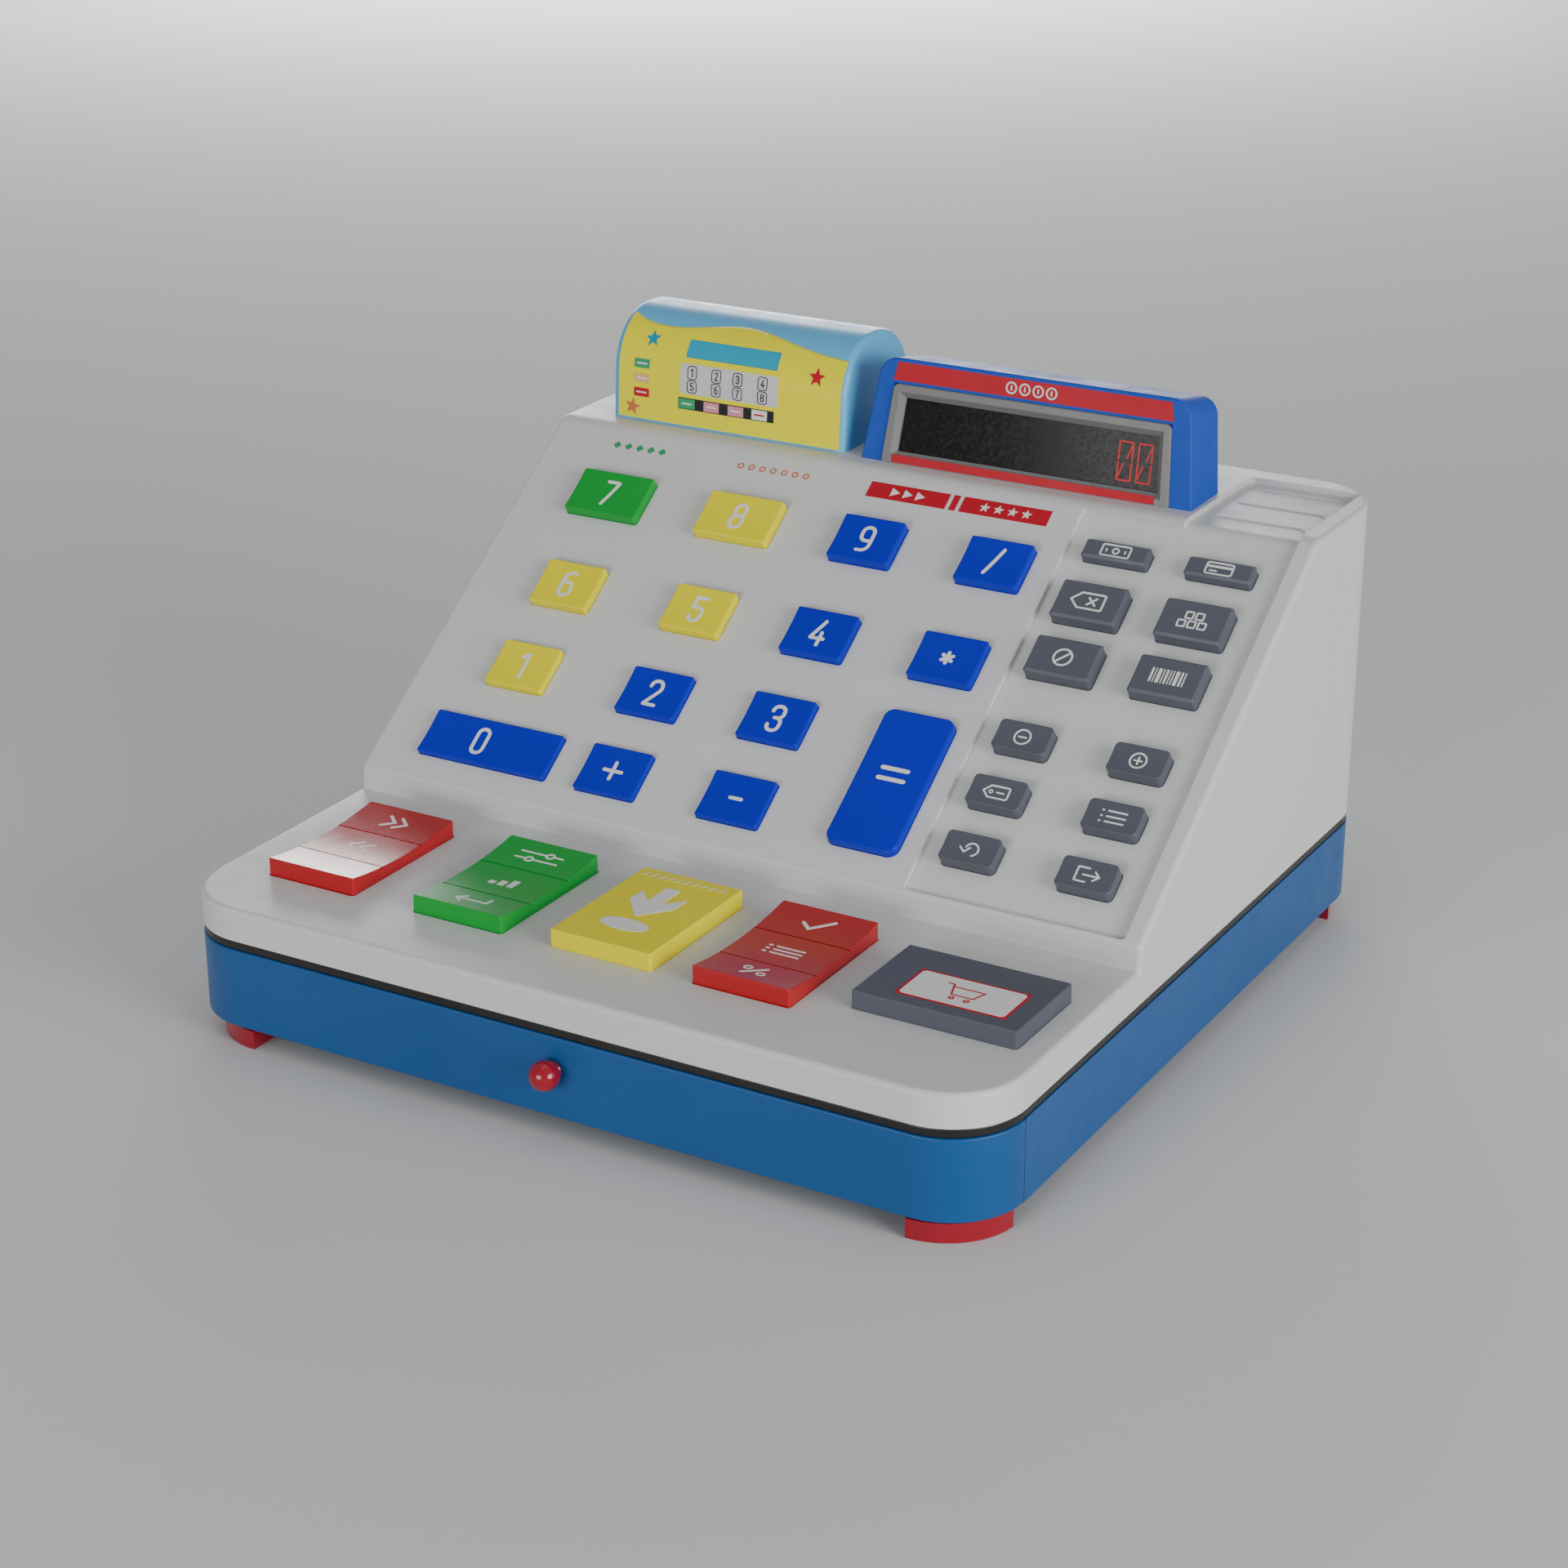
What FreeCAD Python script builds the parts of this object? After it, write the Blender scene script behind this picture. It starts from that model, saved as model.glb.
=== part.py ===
import FreeCAD, Part
import math
import os

# Toy cash register, in millimetres.
#
# Working frame of this file: x from the middle of the body, y from the body's front face towards
# the back, z from the underside of the blue base. emit() moves every piece into the frame of the
# finished model: x the same, y = 0 in the middle of the overall length (knob to back), z = 0 where
# the feet stand. The key pad lies on a sloping panel with its own frame: x across, v up the slope
# from the top of the step, h out of the panel.

V = FreeCAD.Vector

# ---- driving dimensions ---------------------------------------------------------------------
WIDTH = 280.0            # body, left to right
DEPTH = 280.0            # body, front to back
CORNER = 23.5            # plan radius of the body's corners
WALL = 2.5               # wall of the housing and the base
GAP = 0.4                # running gap between the drawer and what it slides in
SEAM = 0.25              # fine gap where two outer surfaces meet
FOOT_RISE = 6.3
BASE_RISE = 26.5         # height of the blue band
GASKET_RISE = 2.9
DECK_Z = 40.0            # flat deck in front of the sloping panel
STEP_Y = 97.0            # where the deck ends in a step
STEP_Z = 47.7            # top of the step
TOP_Y = 219.8            # where the slope meets the flat top
TOP_Z = 135.8

HOUSING_Z = BASE_RISE + GASKET_RISE
HALF = WIDTH / 2
SLOPE_ANGLE = math.atan2(TOP_Z - STEP_Z, TOP_Y - STEP_Y)
SLOPE_LENGTH = math.hypot(TOP_Z - STEP_Z, TOP_Y - STEP_Y)
SLOPE = FreeCAD.Placement(V(0, STEP_Y, STEP_Z), FreeCAD.Rotation(V(1, 0, 0), math.degrees(SLOPE_ANGLE)))

# ---- drawer ---------------------------------------------------------------------------------
DRAWER_TRAVEL = 150.0
DRAWER_HALF = 121.5      # half the width of the drawer box
DRAWER_BACK = 200.0
DRAWER_TOP = 24.0
DRAWER_FLOOR_Z = WALL + 0.9
PANEL_THICK = 3.0        # wall of the blue drawer front
KNOB_R = 4.6
KNOB_OUT = 9.0           # how far the knob stands out of the front
KNOB_Z = 15.7
POST_X = 131.5           # case screws
POST_YS = (28.0, 142.0, 246.0)

# ---- keys -----------------------------------------------------------------------------------
KEY_TRAVEL = 1.6
KEY_GAP = 0.2
FLANGE_GAP = 0.3         # flange to the panel's underside
FLANGE_THICK = 1.2
FLANGE_OUT = 1.5         # how far the flange reaches past the cap
PLUNGER_R = 2.2
PLUNGER_H = -6.6         # foot of a slope key's plunger
DOME_CLEAR = KEY_TRAVEL + 0.3
PANEL_DEEP = 2.0         # depth of the recessed function panel
PANEL_X = (61.0, 134.0)
PANEL_V = (1.2, 148.3)
SHEET_THICK = 1.0        # rubber membrane
BOARD_THICK = 1.6

# number pad: column centres, row centres and how far each row's caps stand out
PAD_COLUMNS = (-100.6, -49.9, -4.5, 41.7)
PAD_ROWS = (120.4, 82.2, 48.5, 17.7)
PAD_RISES = (3.5, 3.1, 2.5, 2.2)
PAD_CAP = (22.2, 17.4)
WIDE_CAP = 27.8          # the 7 and the 8
ZERO_CAP = 49.3
EQUALS_CAP = (24.4, 50.2)
EQUALS_SPOT = (42.4, 35.5)

# function pad: column centres, then (row centre, cap width, cap depth, rise over the panel floor)
FUNCTION_ROWS = (
    (133.2, 22.3, 7.0, 4.0, ("cash", "credit"), (78.8, 113.9)),
    (112.3, 22.3, 14.3, 5.0, ("clear", "quantity"), (78.2, 113.4)),
    (90.3, 22.3, 14.1, 5.1, ("void", "scan"), (78.3, 113.4)),
    (60.0, 18.1, 10.6, 4.5, ("remove", "add"), (77.0, 115.5)),
    (39.2, 18.1, 10.6, 4.5, ("item", "menu"), (77.0, 115.5)),
    (18.3, 18.1, 10.6, 4.5, ("backup", "exit"), (77.0, 115.5)),
)

# deck keys: name, centre x, width, depth; the first three rock, the others push straight down
DECK_KEY_Y = 52.4
DECK_KEY_RISE = 5.7
ROCKERS = (("rocker_red_left", -105.9, 32.4), ("rocker_green", -51.2, 32.4), ("rocker_red_right", 47.5, 32.4))
ROCKER_DEPTH = 52.4
ROCKER_DIP = 2.2         # how far the middle of a rocker lies below its ends
ROCKER_AXIS = -4.6       # below the deck
PIN_R = 1.2
DECK_PUSHERS = (("receipt", -0.3, 35.0, 52.0), ("checkout", 104.9, 52.2, 35.0))
DECK_PLUNGER = -4.4

# ---- inside ---------------------------------------------------------------------------------
FLOOR_PLATE = 2.0        # plate that closes the housing above the drawer
BOARD_SCREW_SPOTS = ((-75.0, 101.0), (-75.0, 33.0), (18.5, 101.0), (18.5, 33.0), (96.0, 101.0), (96.0, 49.7))
SCREW_R = 1.2
SCREW_HEAD_R = 2.6
SCREW_HEAD = 1.6
PILOT_R = 1.25
CELL_R = 7.15            # AA cell
CELL_LENGTH = 50.0
BATTERY_X = 45.0
BATTERY_Z = 88.0
SPEAKER_X = -70.0
SPEAKER_Z = 84.0
SPEAKER_R = 20.0

# ---- units on the top -----------------------------------------------------------------------
DISPLAY_X = 34.3         # middle of the price display
DISPLAY_Y = 227.2
DISPLAY_LEAN = math.radians(11.0)
DISPLAY_FOOT = 119.4     # width at the bottom
DISPLAY_HEAD = 110.4     # width at the top, before its corners are rounded
DISPLAY_TALL = 34.6      # along the leaning face
DISPLAY_DEEP = 27.4
WINDOW_LOW = 3.9         # the dark window, along the face
WINDOW_HIGH = 21.8
WINDOW_HALF = (46.9, 45.5)   # half its width at the bottom and at the top

TERMINAL_X = (-124.4, -32.6)
TERMINAL_Y = 228.0
TERMINAL_DEEP = 47.6
TERMINAL_TALL = 36.2
TERMINAL_BEND = 20.4     # radius of the curved front and back
PLATE_THICK = 0.9
PLATE_X = (-121.3, -34.2)


# ---- building blocks ------------------------------------------------------------------------
def box(x0, x1, y0, y1, z0, z1):
    return Part.makeBox(x1 - x0, y1 - y0, z1 - z0, V(x0, y0, z0))


def rounded_block(cx, cy, width, depth, radius, z0, z1):
    """Upright block with rounded corners in plan."""
    x0, x1 = cx - width / 2, cx + width / 2
    y0, y1 = cy - depth / 2, cy + depth / 2
    edges = []
    corners = ((x1 - radius, y0 + radius, -90), (x1 - radius, y1 - radius, 0),
               (x0 + radius, y1 - radius, 90), (x0 + radius, y0 + radius, 180))
    last = None
    first = None
    for ax, ay, start in corners:
        pts = []
        for turn in (0, 45, 90):
            a = math.radians(start + turn)
            pts.append(V(ax + radius * math.cos(a), ay + radius * math.sin(a), z0))
        if last is not None:
            edges.append(Part.LineSegment(last, pts[0]).toShape())
        else:
            first = pts[0]
        edges.append(Part.Arc(pts[0], pts[1], pts[2]).toShape())
        last = pts[2]
    edges.append(Part.LineSegment(last, first).toShape())
    return Part.Face(Part.Wire(edges)).extrude(V(0, 0, z1 - z0))


def plan_block(inset, z0, z1):
    """The body's rounded plan, moved inwards by inset."""
    return rounded_block(0, DEPTH / 2, WIDTH - 2 * inset, DEPTH - 2 * inset, CORNER - inset, z0, z1)


def side_block(points, x0, x1):
    """Outline in (y, z), pushed along x."""
    wire = Part.makePolygon([V(x0, y, z) for y, z in points + points[:1]])
    return Part.Face(wire).extrude(V(x1 - x0, 0, 0))


def post(x, y, z0, z1, radius):
    return Part.makeCylinder(radius, z1 - z0, V(x, y, z0))


def joined(first, *rest):
    shape = first.multiFuse(list(rest))
    return shape.removeSplitter()


def less(shape, *cutters):
    return shape.cut(list(cutters))


def on_slope(shape):
    return shape.transformed(SLOPE.toMatrix(), True)


def edges_where(shape, test):
    """Edges whose middle point passes the test."""
    found = []
    for edge in shape.Edges:
        middle = edge.valueAt((edge.FirstParameter + edge.LastParameter) / 2)
        if test(middle, edge):
            found.append(edge)
    return found


def emit(name, *solids):
    """Move into the model's frame and write one STEP file."""
    shift = V(0, -(DEPTH - KNOB_OUT) / 2, FOOT_RISE)
    flat = []
    for solid in solids:
        flat.extend(solid.Solids)
    moved = []
    for solid in flat:
        copy = solid.copy()
        copy.translate(shift)
        moved.append(copy)
    shape = moved[0] if len(moved) == 1 else Part.makeCompound(moved)
    if not shape.isValid():
        print("NOT VALID:", name)
    shape.exportStep("parts/" + name + ".step")
    print(name, len(moved), round(shape.Volume))


# ---- base, feet and gasket ------------------------------------------------------------------
def base_tray():
    """Floor, side and back walls, screw posts. In front the drawer's face hangs past the floor."""
    whole = plan_block(0, 0, WALL).common(box(-HALF, HALF, CORNER, DEPTH, 0, WALL))
    floor = joined(plan_block(PANEL_THICK + GAP, 0, WALL), whole)
    ring = less(plan_block(0, WALL, BASE_RISE), plan_block(2.8, WALL, BASE_RISE))
    walls = less(ring, box(-HALF, HALF, 0, CORNER, WALL, BASE_RISE))
    posts = []
    for x in (-POST_X, POST_X):
        for y in POST_YS:
            posts.append(post(x, y, WALL, BASE_RISE, 4.0))
    tray = joined(floor, walls, *posts)
    holes = []
    for x in (-POST_X, POST_X):
        for y in POST_YS:
            holes.append(post(x, y, -1, BASE_RISE + 1, SCREW_R + 0.3))
            holes.append(post(x, y, -1, WALL + 1.5, SCREW_HEAD_R + 0.3))
    for x, y in foot_centres():
        px, py = peg_spot(x, y)
        holes.append(post(px, py, -1, WALL + 1, FOOT_PEG_R + 0.05))
    tray = less(tray, *holes)
    rim = edges_where(tray, lambda m, e: abs(m.z) < 0.01 and on_outline(m) and m.y > CORNER + 0.1)
    return tray.makeFillet(BASE_ROUND, rim)


FOOT_PEG_R = 3.0
FOOT_X = (-110.8, 115.4)     # the feet's arc centres; the left pair stands further in
FOOT_Y = (CORNER, 249.5)
FOOT_SHORT = 3.5             # how far each foot ends short of a full quarter disc
BASE_ROUND = 0.6             # rounding of the base's lower edge


def on_outline(point):
    """True where a point lies on the body's outer plan line."""
    dx = max(abs(point.x) - (HALF - CORNER), 0)
    dy = max(abs(point.y - DEPTH / 2) - (DEPTH / 2 - CORNER), 0)
    if dx > 0 and dy > 0:
        return abs(math.hypot(dx, dy) - CORNER) < 0.01
    return abs(max(dx, dy) - CORNER) < 0.01


def foot_centres():
    return [(x, y) for x in FOOT_X for y in FOOT_Y]


def foot(x, y):
    """Most of a quarter disc under a corner, with a peg that plugs into the base."""
    disc = Part.makeCylinder(CORNER, FOOT_RISE, V(x, y, -FOOT_RISE))
    reach = CORNER + 1
    x0, x1 = (x, x + reach) if x > 0 else (x - reach, x)
    y0, y1 = (y - reach, y - FOOT_SHORT) if y < DEPTH / 2 else (y + FOOT_SHORT, y + reach)
    quarter = disc.common(box(x0, x1, y0, y1, -FOOT_RISE, 0))
    rim = edges_where(quarter, lambda m, e: abs(m.z + FOOT_RISE) < 0.01)
    quarter = quarter.makeFillet(0.5, rim)
    px, py = peg_spot(x, y)
    return joined(quarter, post(px, py, -1, WALL - 0.2, FOOT_PEG_R))


def peg_spot(x, y):
    """Where the peg of the foot with this centre goes."""
    return (x + 8 if x > 0 else x - 8), (y - 8 if y < DEPTH / 2 else y + 8)


def seam_gasket():
    """Black bead between the base and the housing."""
    ring = less(plan_block(0.2, BASE_RISE, HOUSING_Z), plan_block(4.2, BASE_RISE, HOUSING_Z))
    outer = edges_where(ring, lambda m, e: not inside_plan(m, 2.0))
    return ring.makeFillet(0.6, outer)


def inside_plan(point, inset):
    """True where a point is further than inset inside the body's plan line."""
    dx = max(abs(point.x) - (HALF - CORNER), 0)
    dy = max(abs(point.y - DEPTH / 2) - (DEPTH / 2 - CORNER), 0)
    reach = math.hypot(dx, dy) if dx > 0 and dy > 0 else max(dx, dy)
    return reach < CORNER - inset


# ---- drawer ---------------------------------------------------------------------------------
def drawer_front():
    """Full-width front with both rounded corners; its back edges meet the base's side walls."""
    low, high = SEAM, BASE_RISE - SEAM
    ring = less(plan_block(0, low, high), plan_block(PANEL_THICK, low, high))
    front = ring.common(box(-HALF, HALF, 0, CORNER - SEAM, low, high))
    ribs = []
    for side in (-1, 1):
        x0, x1 = sorted((side * (DRAWER_HALF + 0.1), side * (DRAWER_HALF + 2.1)))
        ribs.append(box(x0, x1, PANEL_THICK - 0.5, PANEL_THICK + 5, low + 3, high - 3))
    front = joined(front, *ribs)
    holes = []
    for x in drawer_screw_xs():
        start = 1.4 if x else -1
        holes.append(Part.makeCylinder(SCREW_R + 0.1, PANEL_THICK + 2, V(x, start, KNOB_Z), V(0, 1, 0)))
    front = less(front, *holes)
    edges = edges_where(front, lambda m, e: on_outline(m) and min(m.z - low, high - m.z) < 0.01)
    return front.makeFillet(BASE_ROUND, edges)


def drawer_screw_xs():
    return (-70.0, 0.0, 70.0)


def coin_cup(x0, x1, y0, y1):
    """Pocket for coins: a round trough below, straight walls above."""
    half = (y1 - y0) / 2
    low = DRAWER_FLOOR_Z + 2.0
    radius = (half * half + CUP_RISE * CUP_RISE) / (2 * CUP_RISE)
    trough = Part.makeCylinder(radius, x1 - x0, V(x0, y0 + half, low + radius), V(1, 0, 0))
    trough = trough.common(box(x0, x1, y0, y1, low - 1, low + CUP_RISE))
    return joined(trough, box(x0, x1, y0, y1, low + CUP_RISE, DRAWER_TOP + 1))


def bay_edges(count):
    """Left and right x of each of count equal bays across the drawer."""
    pitch = (2 * DRAWER_HALF - DRAWER_WALL) / count
    start = -DRAWER_HALF + DRAWER_WALL
    return [(start + i * pitch, start + i * pitch + pitch - DRAWER_WALL) for i in range(count)]


DRAWER_WALL = 2.4
CUP_Y = (8.4, 64.0)      # front and back of the coin cups
CUP_RISE = 12.0          # height of a coin cup's curved part
BAY_Y = (66.4, DRAWER_BACK - DRAWER_WALL)
HEAD_Y = PANEL_THICK + 3.0   # where the heads of the drawer's screws sit


def cash_drawer():
    """One moulding: four coin cups in front, three note bays behind, flanges that ride the runners."""
    block = box(-DRAWER_HALF, DRAWER_HALF, PANEL_THICK, DRAWER_BACK, DRAWER_FLOOR_Z, DRAWER_TOP)
    cutters = []
    for x0, x1 in bay_edges(4):
        cutters.append(coin_cup(x0, x1, CUP_Y[0], CUP_Y[1]))
    for x0, x1 in bay_edges(3):
        bay = rounded_block((x0 + x1) / 2, sum(BAY_Y) / 2, x1 - x0, BAY_Y[1] - BAY_Y[0], 4.0,
                            DRAWER_FLOOR_Z + 2.0, DRAWER_TOP + 1)
        cutters.append(bay)
    for x in drawer_screw_xs():
        cutters.append(Part.makeCylinder(SCREW_R + 0.2, 12, V(x, 2, KNOB_Z), V(0, 1, 0)))
        cutters.append(Part.makeCylinder(SCREW_HEAD_R + 0.4, 8, V(x, HEAD_Y, KNOB_Z), V(0, 1, 0)))
    drawer = less(block.common(plan_block(PANEL_THICK, 0, BASE_RISE)), *cutters)
    flanges = []
    catch_y = RUNNER_STOP_Y[1] + DRAWER_TRAVEL + GAP
    for reach, y0, y1 in ((2.6, RUNNER_STOP_Y[0] + 3.5, DRAWER_BACK), (3.8, catch_y, catch_y + 4)):
        for side in (-1, 1):
            x0, x1 = sorted((side * (DRAWER_HALF - 1), side * (DRAWER_HALF + reach)))
            flanges.append(box(x0, x1, y0, y1, DRAWER_FLOOR_Z, DRAWER_FLOOR_Z + 2.4))
    return joined(drawer, *flanges)


RUNNER_STOP_Y = (28.0, 32.0)


def drawer_runner(side):
    """Channel on the base floor that guides one flange, with the stop that ends the travel."""
    def strip(xa, xb, y0, y1, z0, z1):
        a, b = sorted((side * xa, side * xb))
        return box(a, b, y0, y1, z0, z1)

    back = DEPTH - 20
    flange_top = DRAWER_FLOOR_Z + 2.4
    track = strip(DRAWER_HALF - 2, DRAWER_HALF + 5.6, RUNNER_STOP_Y[0], back, WALL, WALL + 0.5)
    wall = strip(DRAWER_HALF + 4.2, DRAWER_HALF + 5.6, RUNNER_STOP_Y[0], back, WALL, flange_top + 2.0)
    front, stop_end = RUNNER_STOP_Y
    lip = strip(DRAWER_HALF + 0.9, DRAWER_HALF + 5.6, front, back, flange_top + GAP, flange_top + 2.0)
    stop = strip(DRAWER_HALF + 2.9, DRAWER_HALF + 5.6, front, stop_end, WALL, flange_top + 2.0)
    return joined(track, wall, lip, stop)


def drawer_knob():
    """Ball on a short neck; a screw from inside the drawer holds it."""
    ball = Part.makeSphere(KNOB_R, V(0, KNOB_R - KNOB_OUT, KNOB_Z))
    neck = Part.makeCylinder(2.4, KNOB_OUT - KNOB_R, V(0, KNOB_R - KNOB_OUT, KNOB_Z), V(0, 1, 0))
    collar = Part.makeCone(2.4, 2.8, 0.6, V(0, -0.6, KNOB_Z), V(0, 1, 0))
    pilot = Part.makeCylinder(PILOT_R, 6, V(0, -6, KNOB_Z), V(0, 1, 0))
    behind = box(-KNOB_R, KNOB_R, 0, KNOB_R, 0, BASE_RISE)
    return less(joined(ball, neck, collar), pilot, behind)


def screw(x, y, z, direction, length):
    """Pan-head self-tapping screw: the head's underside is at the point, the shank goes along direction."""
    shank = Part.makeCylinder(SCREW_R, length, V(x, y, z), direction)
    back = V(direction).multiply(-SCREW_HEAD)
    head = Part.makeCone(SCREW_HEAD_R * 0.8, SCREW_HEAD_R, SCREW_HEAD, V(x, y, z) + back, direction)
    slot_a = Part.makeBox(2.6, 0.6, 0.8)
    slot_b = Part.makeBox(0.6, 2.6, 0.8)
    slot_a.translate(V(-1.3, -0.3, 0))
    slot_b.translate(V(-0.3, -1.3, 0))
    turn = FreeCAD.Placement(V(x, y, z) + back, FreeCAD.Rotation(V(0, 0, 1), direction))
    cross = joined(slot_a, slot_b).transformed(turn.toMatrix(), True)
    return less(joined(shank, head), cross)


def drawer_screws():
    return [screw(x, HEAD_Y, KNOB_Z, V(0, -1, 0), 4.4 if x else 10) for x in drawer_screw_xs()]


# ---- housing --------------------------------------------------------------------------------
def slope_z(y, inset):
    return STEP_Z + (y - STEP_Y) * math.tan(SLOPE_ANGLE) - inset / math.cos(SLOPE_ANGLE)


def housing_side(inset, bottom):
    """(y, z) outline of the housing seen from the side, moved inwards by inset."""
    top = TOP_Z - inset
    meet = STEP_Y + (top - STEP_Z + inset / math.cos(SLOPE_ANGLE)) / math.tan(SLOPE_ANGLE)
    step = STEP_Y + inset
    return [(inset, bottom), (inset, DECK_Z - inset), (step, DECK_Z - inset), (step, slope_z(step, inset)),
            (meet, top), (DEPTH - inset, top), (DEPTH - inset, bottom)]


def housing_blank():
    """Outside of the housing as one solid, with its edges rounded."""
    blank = side_block(housing_side(0, HOUSING_Z), -HALF, HALF).common(plan_block(0, HOUSING_Z, TOP_Z))
    ridge = edges_where(blank, lambda m, e: abs(m.y - TOP_Y) < 0.1 and abs(m.z - TOP_Z) < 0.1)
    blank = blank.makeFillet(RIDGE_ROUND, ridge)
    step = edges_where(blank, lambda m, e: abs(m.y - STEP_Y) < 0.1 and abs(m.x) < 1)
    blank = blank.makeFillet(1.2, step)
    rim = edges_where(blank, is_upper_rim)
    return blank.makeFillet(1.7, rim)


RIDGE_ROUND = 9.0        # where the slope turns into the flat top


def is_upper_rim(middle, edge):
    """The edges that run round the top of the side walls."""
    if not on_outline(middle) or middle.z < HOUSING_Z + 1:
        return False
    upright = abs(edge.tangentAt(edge.FirstParameter).z) > 0.999
    return not upright or abs(middle.y - STEP_Y) < 2


def panel_recess():
    cx, cv = sum(PANEL_X) / 2, sum(PANEL_V) / 2
    return rounded_block(cx, cv, PANEL_X[1] - PANEL_X[0], PANEL_V[1] - PANEL_V[0], 1.2, -PANEL_DEEP, 30)


def panel_pad():
    """Extra thickness behind the recessed function panel."""
    return box(PANEL_X[0] - WALL, HALF - 1.0, 0.5, SLOPE_LENGTH, -PANEL_DEEP - WALL, -WALL + 0.5)


TRAY_X = (95.5, PANEL_X[1])
TRAY_BACK = 271.5
TRAY_ROUND = 2.0


def top_tray():
    """Shallow rest sunk into the flat top; in front it runs over the ridge into the recessed panel."""
    start = 200.0
    outline = housing_side(PANEL_DEEP, 0)
    meet, floor = outline[4]
    points = [(start, slope_z(start, PANEL_DEEP)), (meet, floor), (TRAY_BACK, floor),
              (TRAY_BACK, TOP_Z + 5), (start, TOP_Z + 5)]
    rest = side_block(points, TRAY_X[0], TRAY_X[1])
    ridge = edges_where(rest, lambda m, e: abs(m.y - meet) < 0.1 and abs(m.z - floor) < 0.1)
    rest = rest.makeFillet(RIDGE_ROUND - PANEL_DEEP, ridge)
    corners = edges_where(rest, lambda m, e: abs(m.y - TRAY_BACK) < 0.1 and is_upright(e))
    return rest.makeFillet(TRAY_ROUND, corners)


def tray_pad():
    """Extra thickness below the rest."""
    floor = TOP_Z - PANEL_DEEP
    return box(TRAY_X[0] - WALL, HALF - 1.5, TOP_Y - 1, TRAY_BACK + WALL, floor - WALL, floor - 0.2)


def tray_ridges():
    """Three thin ridges across the rest, each with a short hook at its right end."""
    z0, z1 = TOP_Z - PANEL_DEEP - 0.2, TOP_Z - PANEL_DEEP + 0.4
    ridges = []
    for y in (233.6, 249.8, 266.0):
        ridges.append(box(100.0, 129.0, y - 0.3, y + 0.3, z0, z1))
        hook = box(0, 2.6, -0.6, 0, z0, z1)
        hook.rotate(V(0, 0, 0), V(0, 0, 1), -50)
        hook.translate(V(128.8, y + 0.3, 0))
        ridges.append(hook)
    return ridges


def key_hole(cx, cy, width, depth, corner):
    return rounded_block(cx, cy, width + 2 * KEY_GAP, depth + 2 * KEY_GAP, corner + KEY_GAP, -12, 12)


def slope_holes():
    holes = [key_hole(k["x"], k["v"], k["width"], k["depth"], k["corner"]) for k in slope_keys()]
    return [on_slope(hole) for hole in holes]


def deck_holes():
    holes = []
    for name, x, width in ROCKERS:
        holes.append(rounded_block(x, DECK_KEY_Y, width + 2 * KEY_GAP, ROCKER_DEPTH + 1.0, 1.0,
                                   DECK_Z - 9, DECK_Z + 9))
    for name, x, width, depth in DECK_PUSHERS:
        holes.append(rounded_block(x, DECK_KEY_Y, width + 2 * KEY_GAP, depth + 2 * KEY_GAP, 1.0,
                                   DECK_Z - 9, DECK_Z + 9))
    return holes


def rocker_lugs():
    """Ears below the deck that carry each rocker's two pins."""
    lugs = []
    axis = DECK_Z + ROCKER_AXIS
    for name, x, width in ROCKERS:
        for side in (-1, 1):
            a, b = sorted((x + side * (width / 2 + KEY_GAP + 0.1), x + side * (width / 2 + KEY_GAP + 2.3)))
            ear = box(a, b, DECK_KEY_Y - 3.2, DECK_KEY_Y + 3.2, axis - 1.9, DECK_Z - 1.5)
            bore = Part.makeCylinder(PIN_R + 0.06, b - a + 2, V(a - 1, DECK_KEY_Y, axis), V(1, 0, 0))
            lugs.append(less(ear, bore))
    return lugs


def board_bosses():
    bosses = []
    for x, v in BOARD_SCREW_SPOTS:
        top = -PANEL_DEEP - 1.0 if x > PANEL_X[0] else -1.0
        tube = less(post(x, v, BOARD_TOP, top, 3.0), post(x, v, BOARD_TOP - 1, BOARD_TOP + 4.5, PILOT_R))
        bosses.append(on_slope(tube))
    return bosses


def case_bosses():
    """Tubes that take the case screws, joined to the side walls by a web."""
    bosses = []
    for side in (-1, 1):
        for y, top in zip(POST_YS, (DECK_Z - 1, 60.0, 80.0)):
            x = side * POST_X
            tube = post(x, y, BASE_RISE, top, 4.0)
            a, b = sorted((x, side * (HALF - 1)))
            web = box(a, b, y - 1, y + 1, HOUSING_Z, top)
            bosses.append(joined(tube, web))
    return bosses


def case_pilots():
    return [post(side * POST_X, y, BASE_RISE - 1, DECK_Z - 3, PILOT_R) for side in (-1, 1) for y in POST_YS]


def plate_bosses():
    """Short feet on the side walls that the closing plate is screwed to."""
    return [box(a, b, y - 4, y + 4, HOUSING_Z + FLOOR_PLATE, HOUSING_Z + FLOOR_PLATE + 8)
            for a, b in ((-HALF + 1, -HALF + 12), (HALF - 12, HALF - 1)) for y in PLATE_SCREW_YS]


PLATE_SCREW_YS = (110.0, 215.0)
PLATE_SCREW_X = 132.5


def plate_screw_spots():
    return [(x, y) for x in (-PLATE_SCREW_X, PLATE_SCREW_X) for y in PLATE_SCREW_YS]


def plate_pilots():
    return [post(x, y, HOUSING_Z, HOUSING_Z + 8, PILOT_R) for x, y in plate_screw_spots()]


def speaker_grille():
    """Rings of small holes through the back wall."""
    holes = [Part.makeCylinder(1.2, 10, V(SPEAKER_X, DEPTH - 6, SPEAKER_Z), V(0, 1, 0))]
    for ring, count in ((4.5, 6), (9.0, 12), (13.5, 18)):
        for i in range(count):
            a = 2 * math.pi * i / count
            x, z = SPEAKER_X + ring * math.cos(a), SPEAKER_Z + ring * math.sin(a)
            holes.append(Part.makeCylinder(1.2, 10, V(x, DEPTH - 6, z), V(0, 1, 0)))
    return holes


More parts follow.
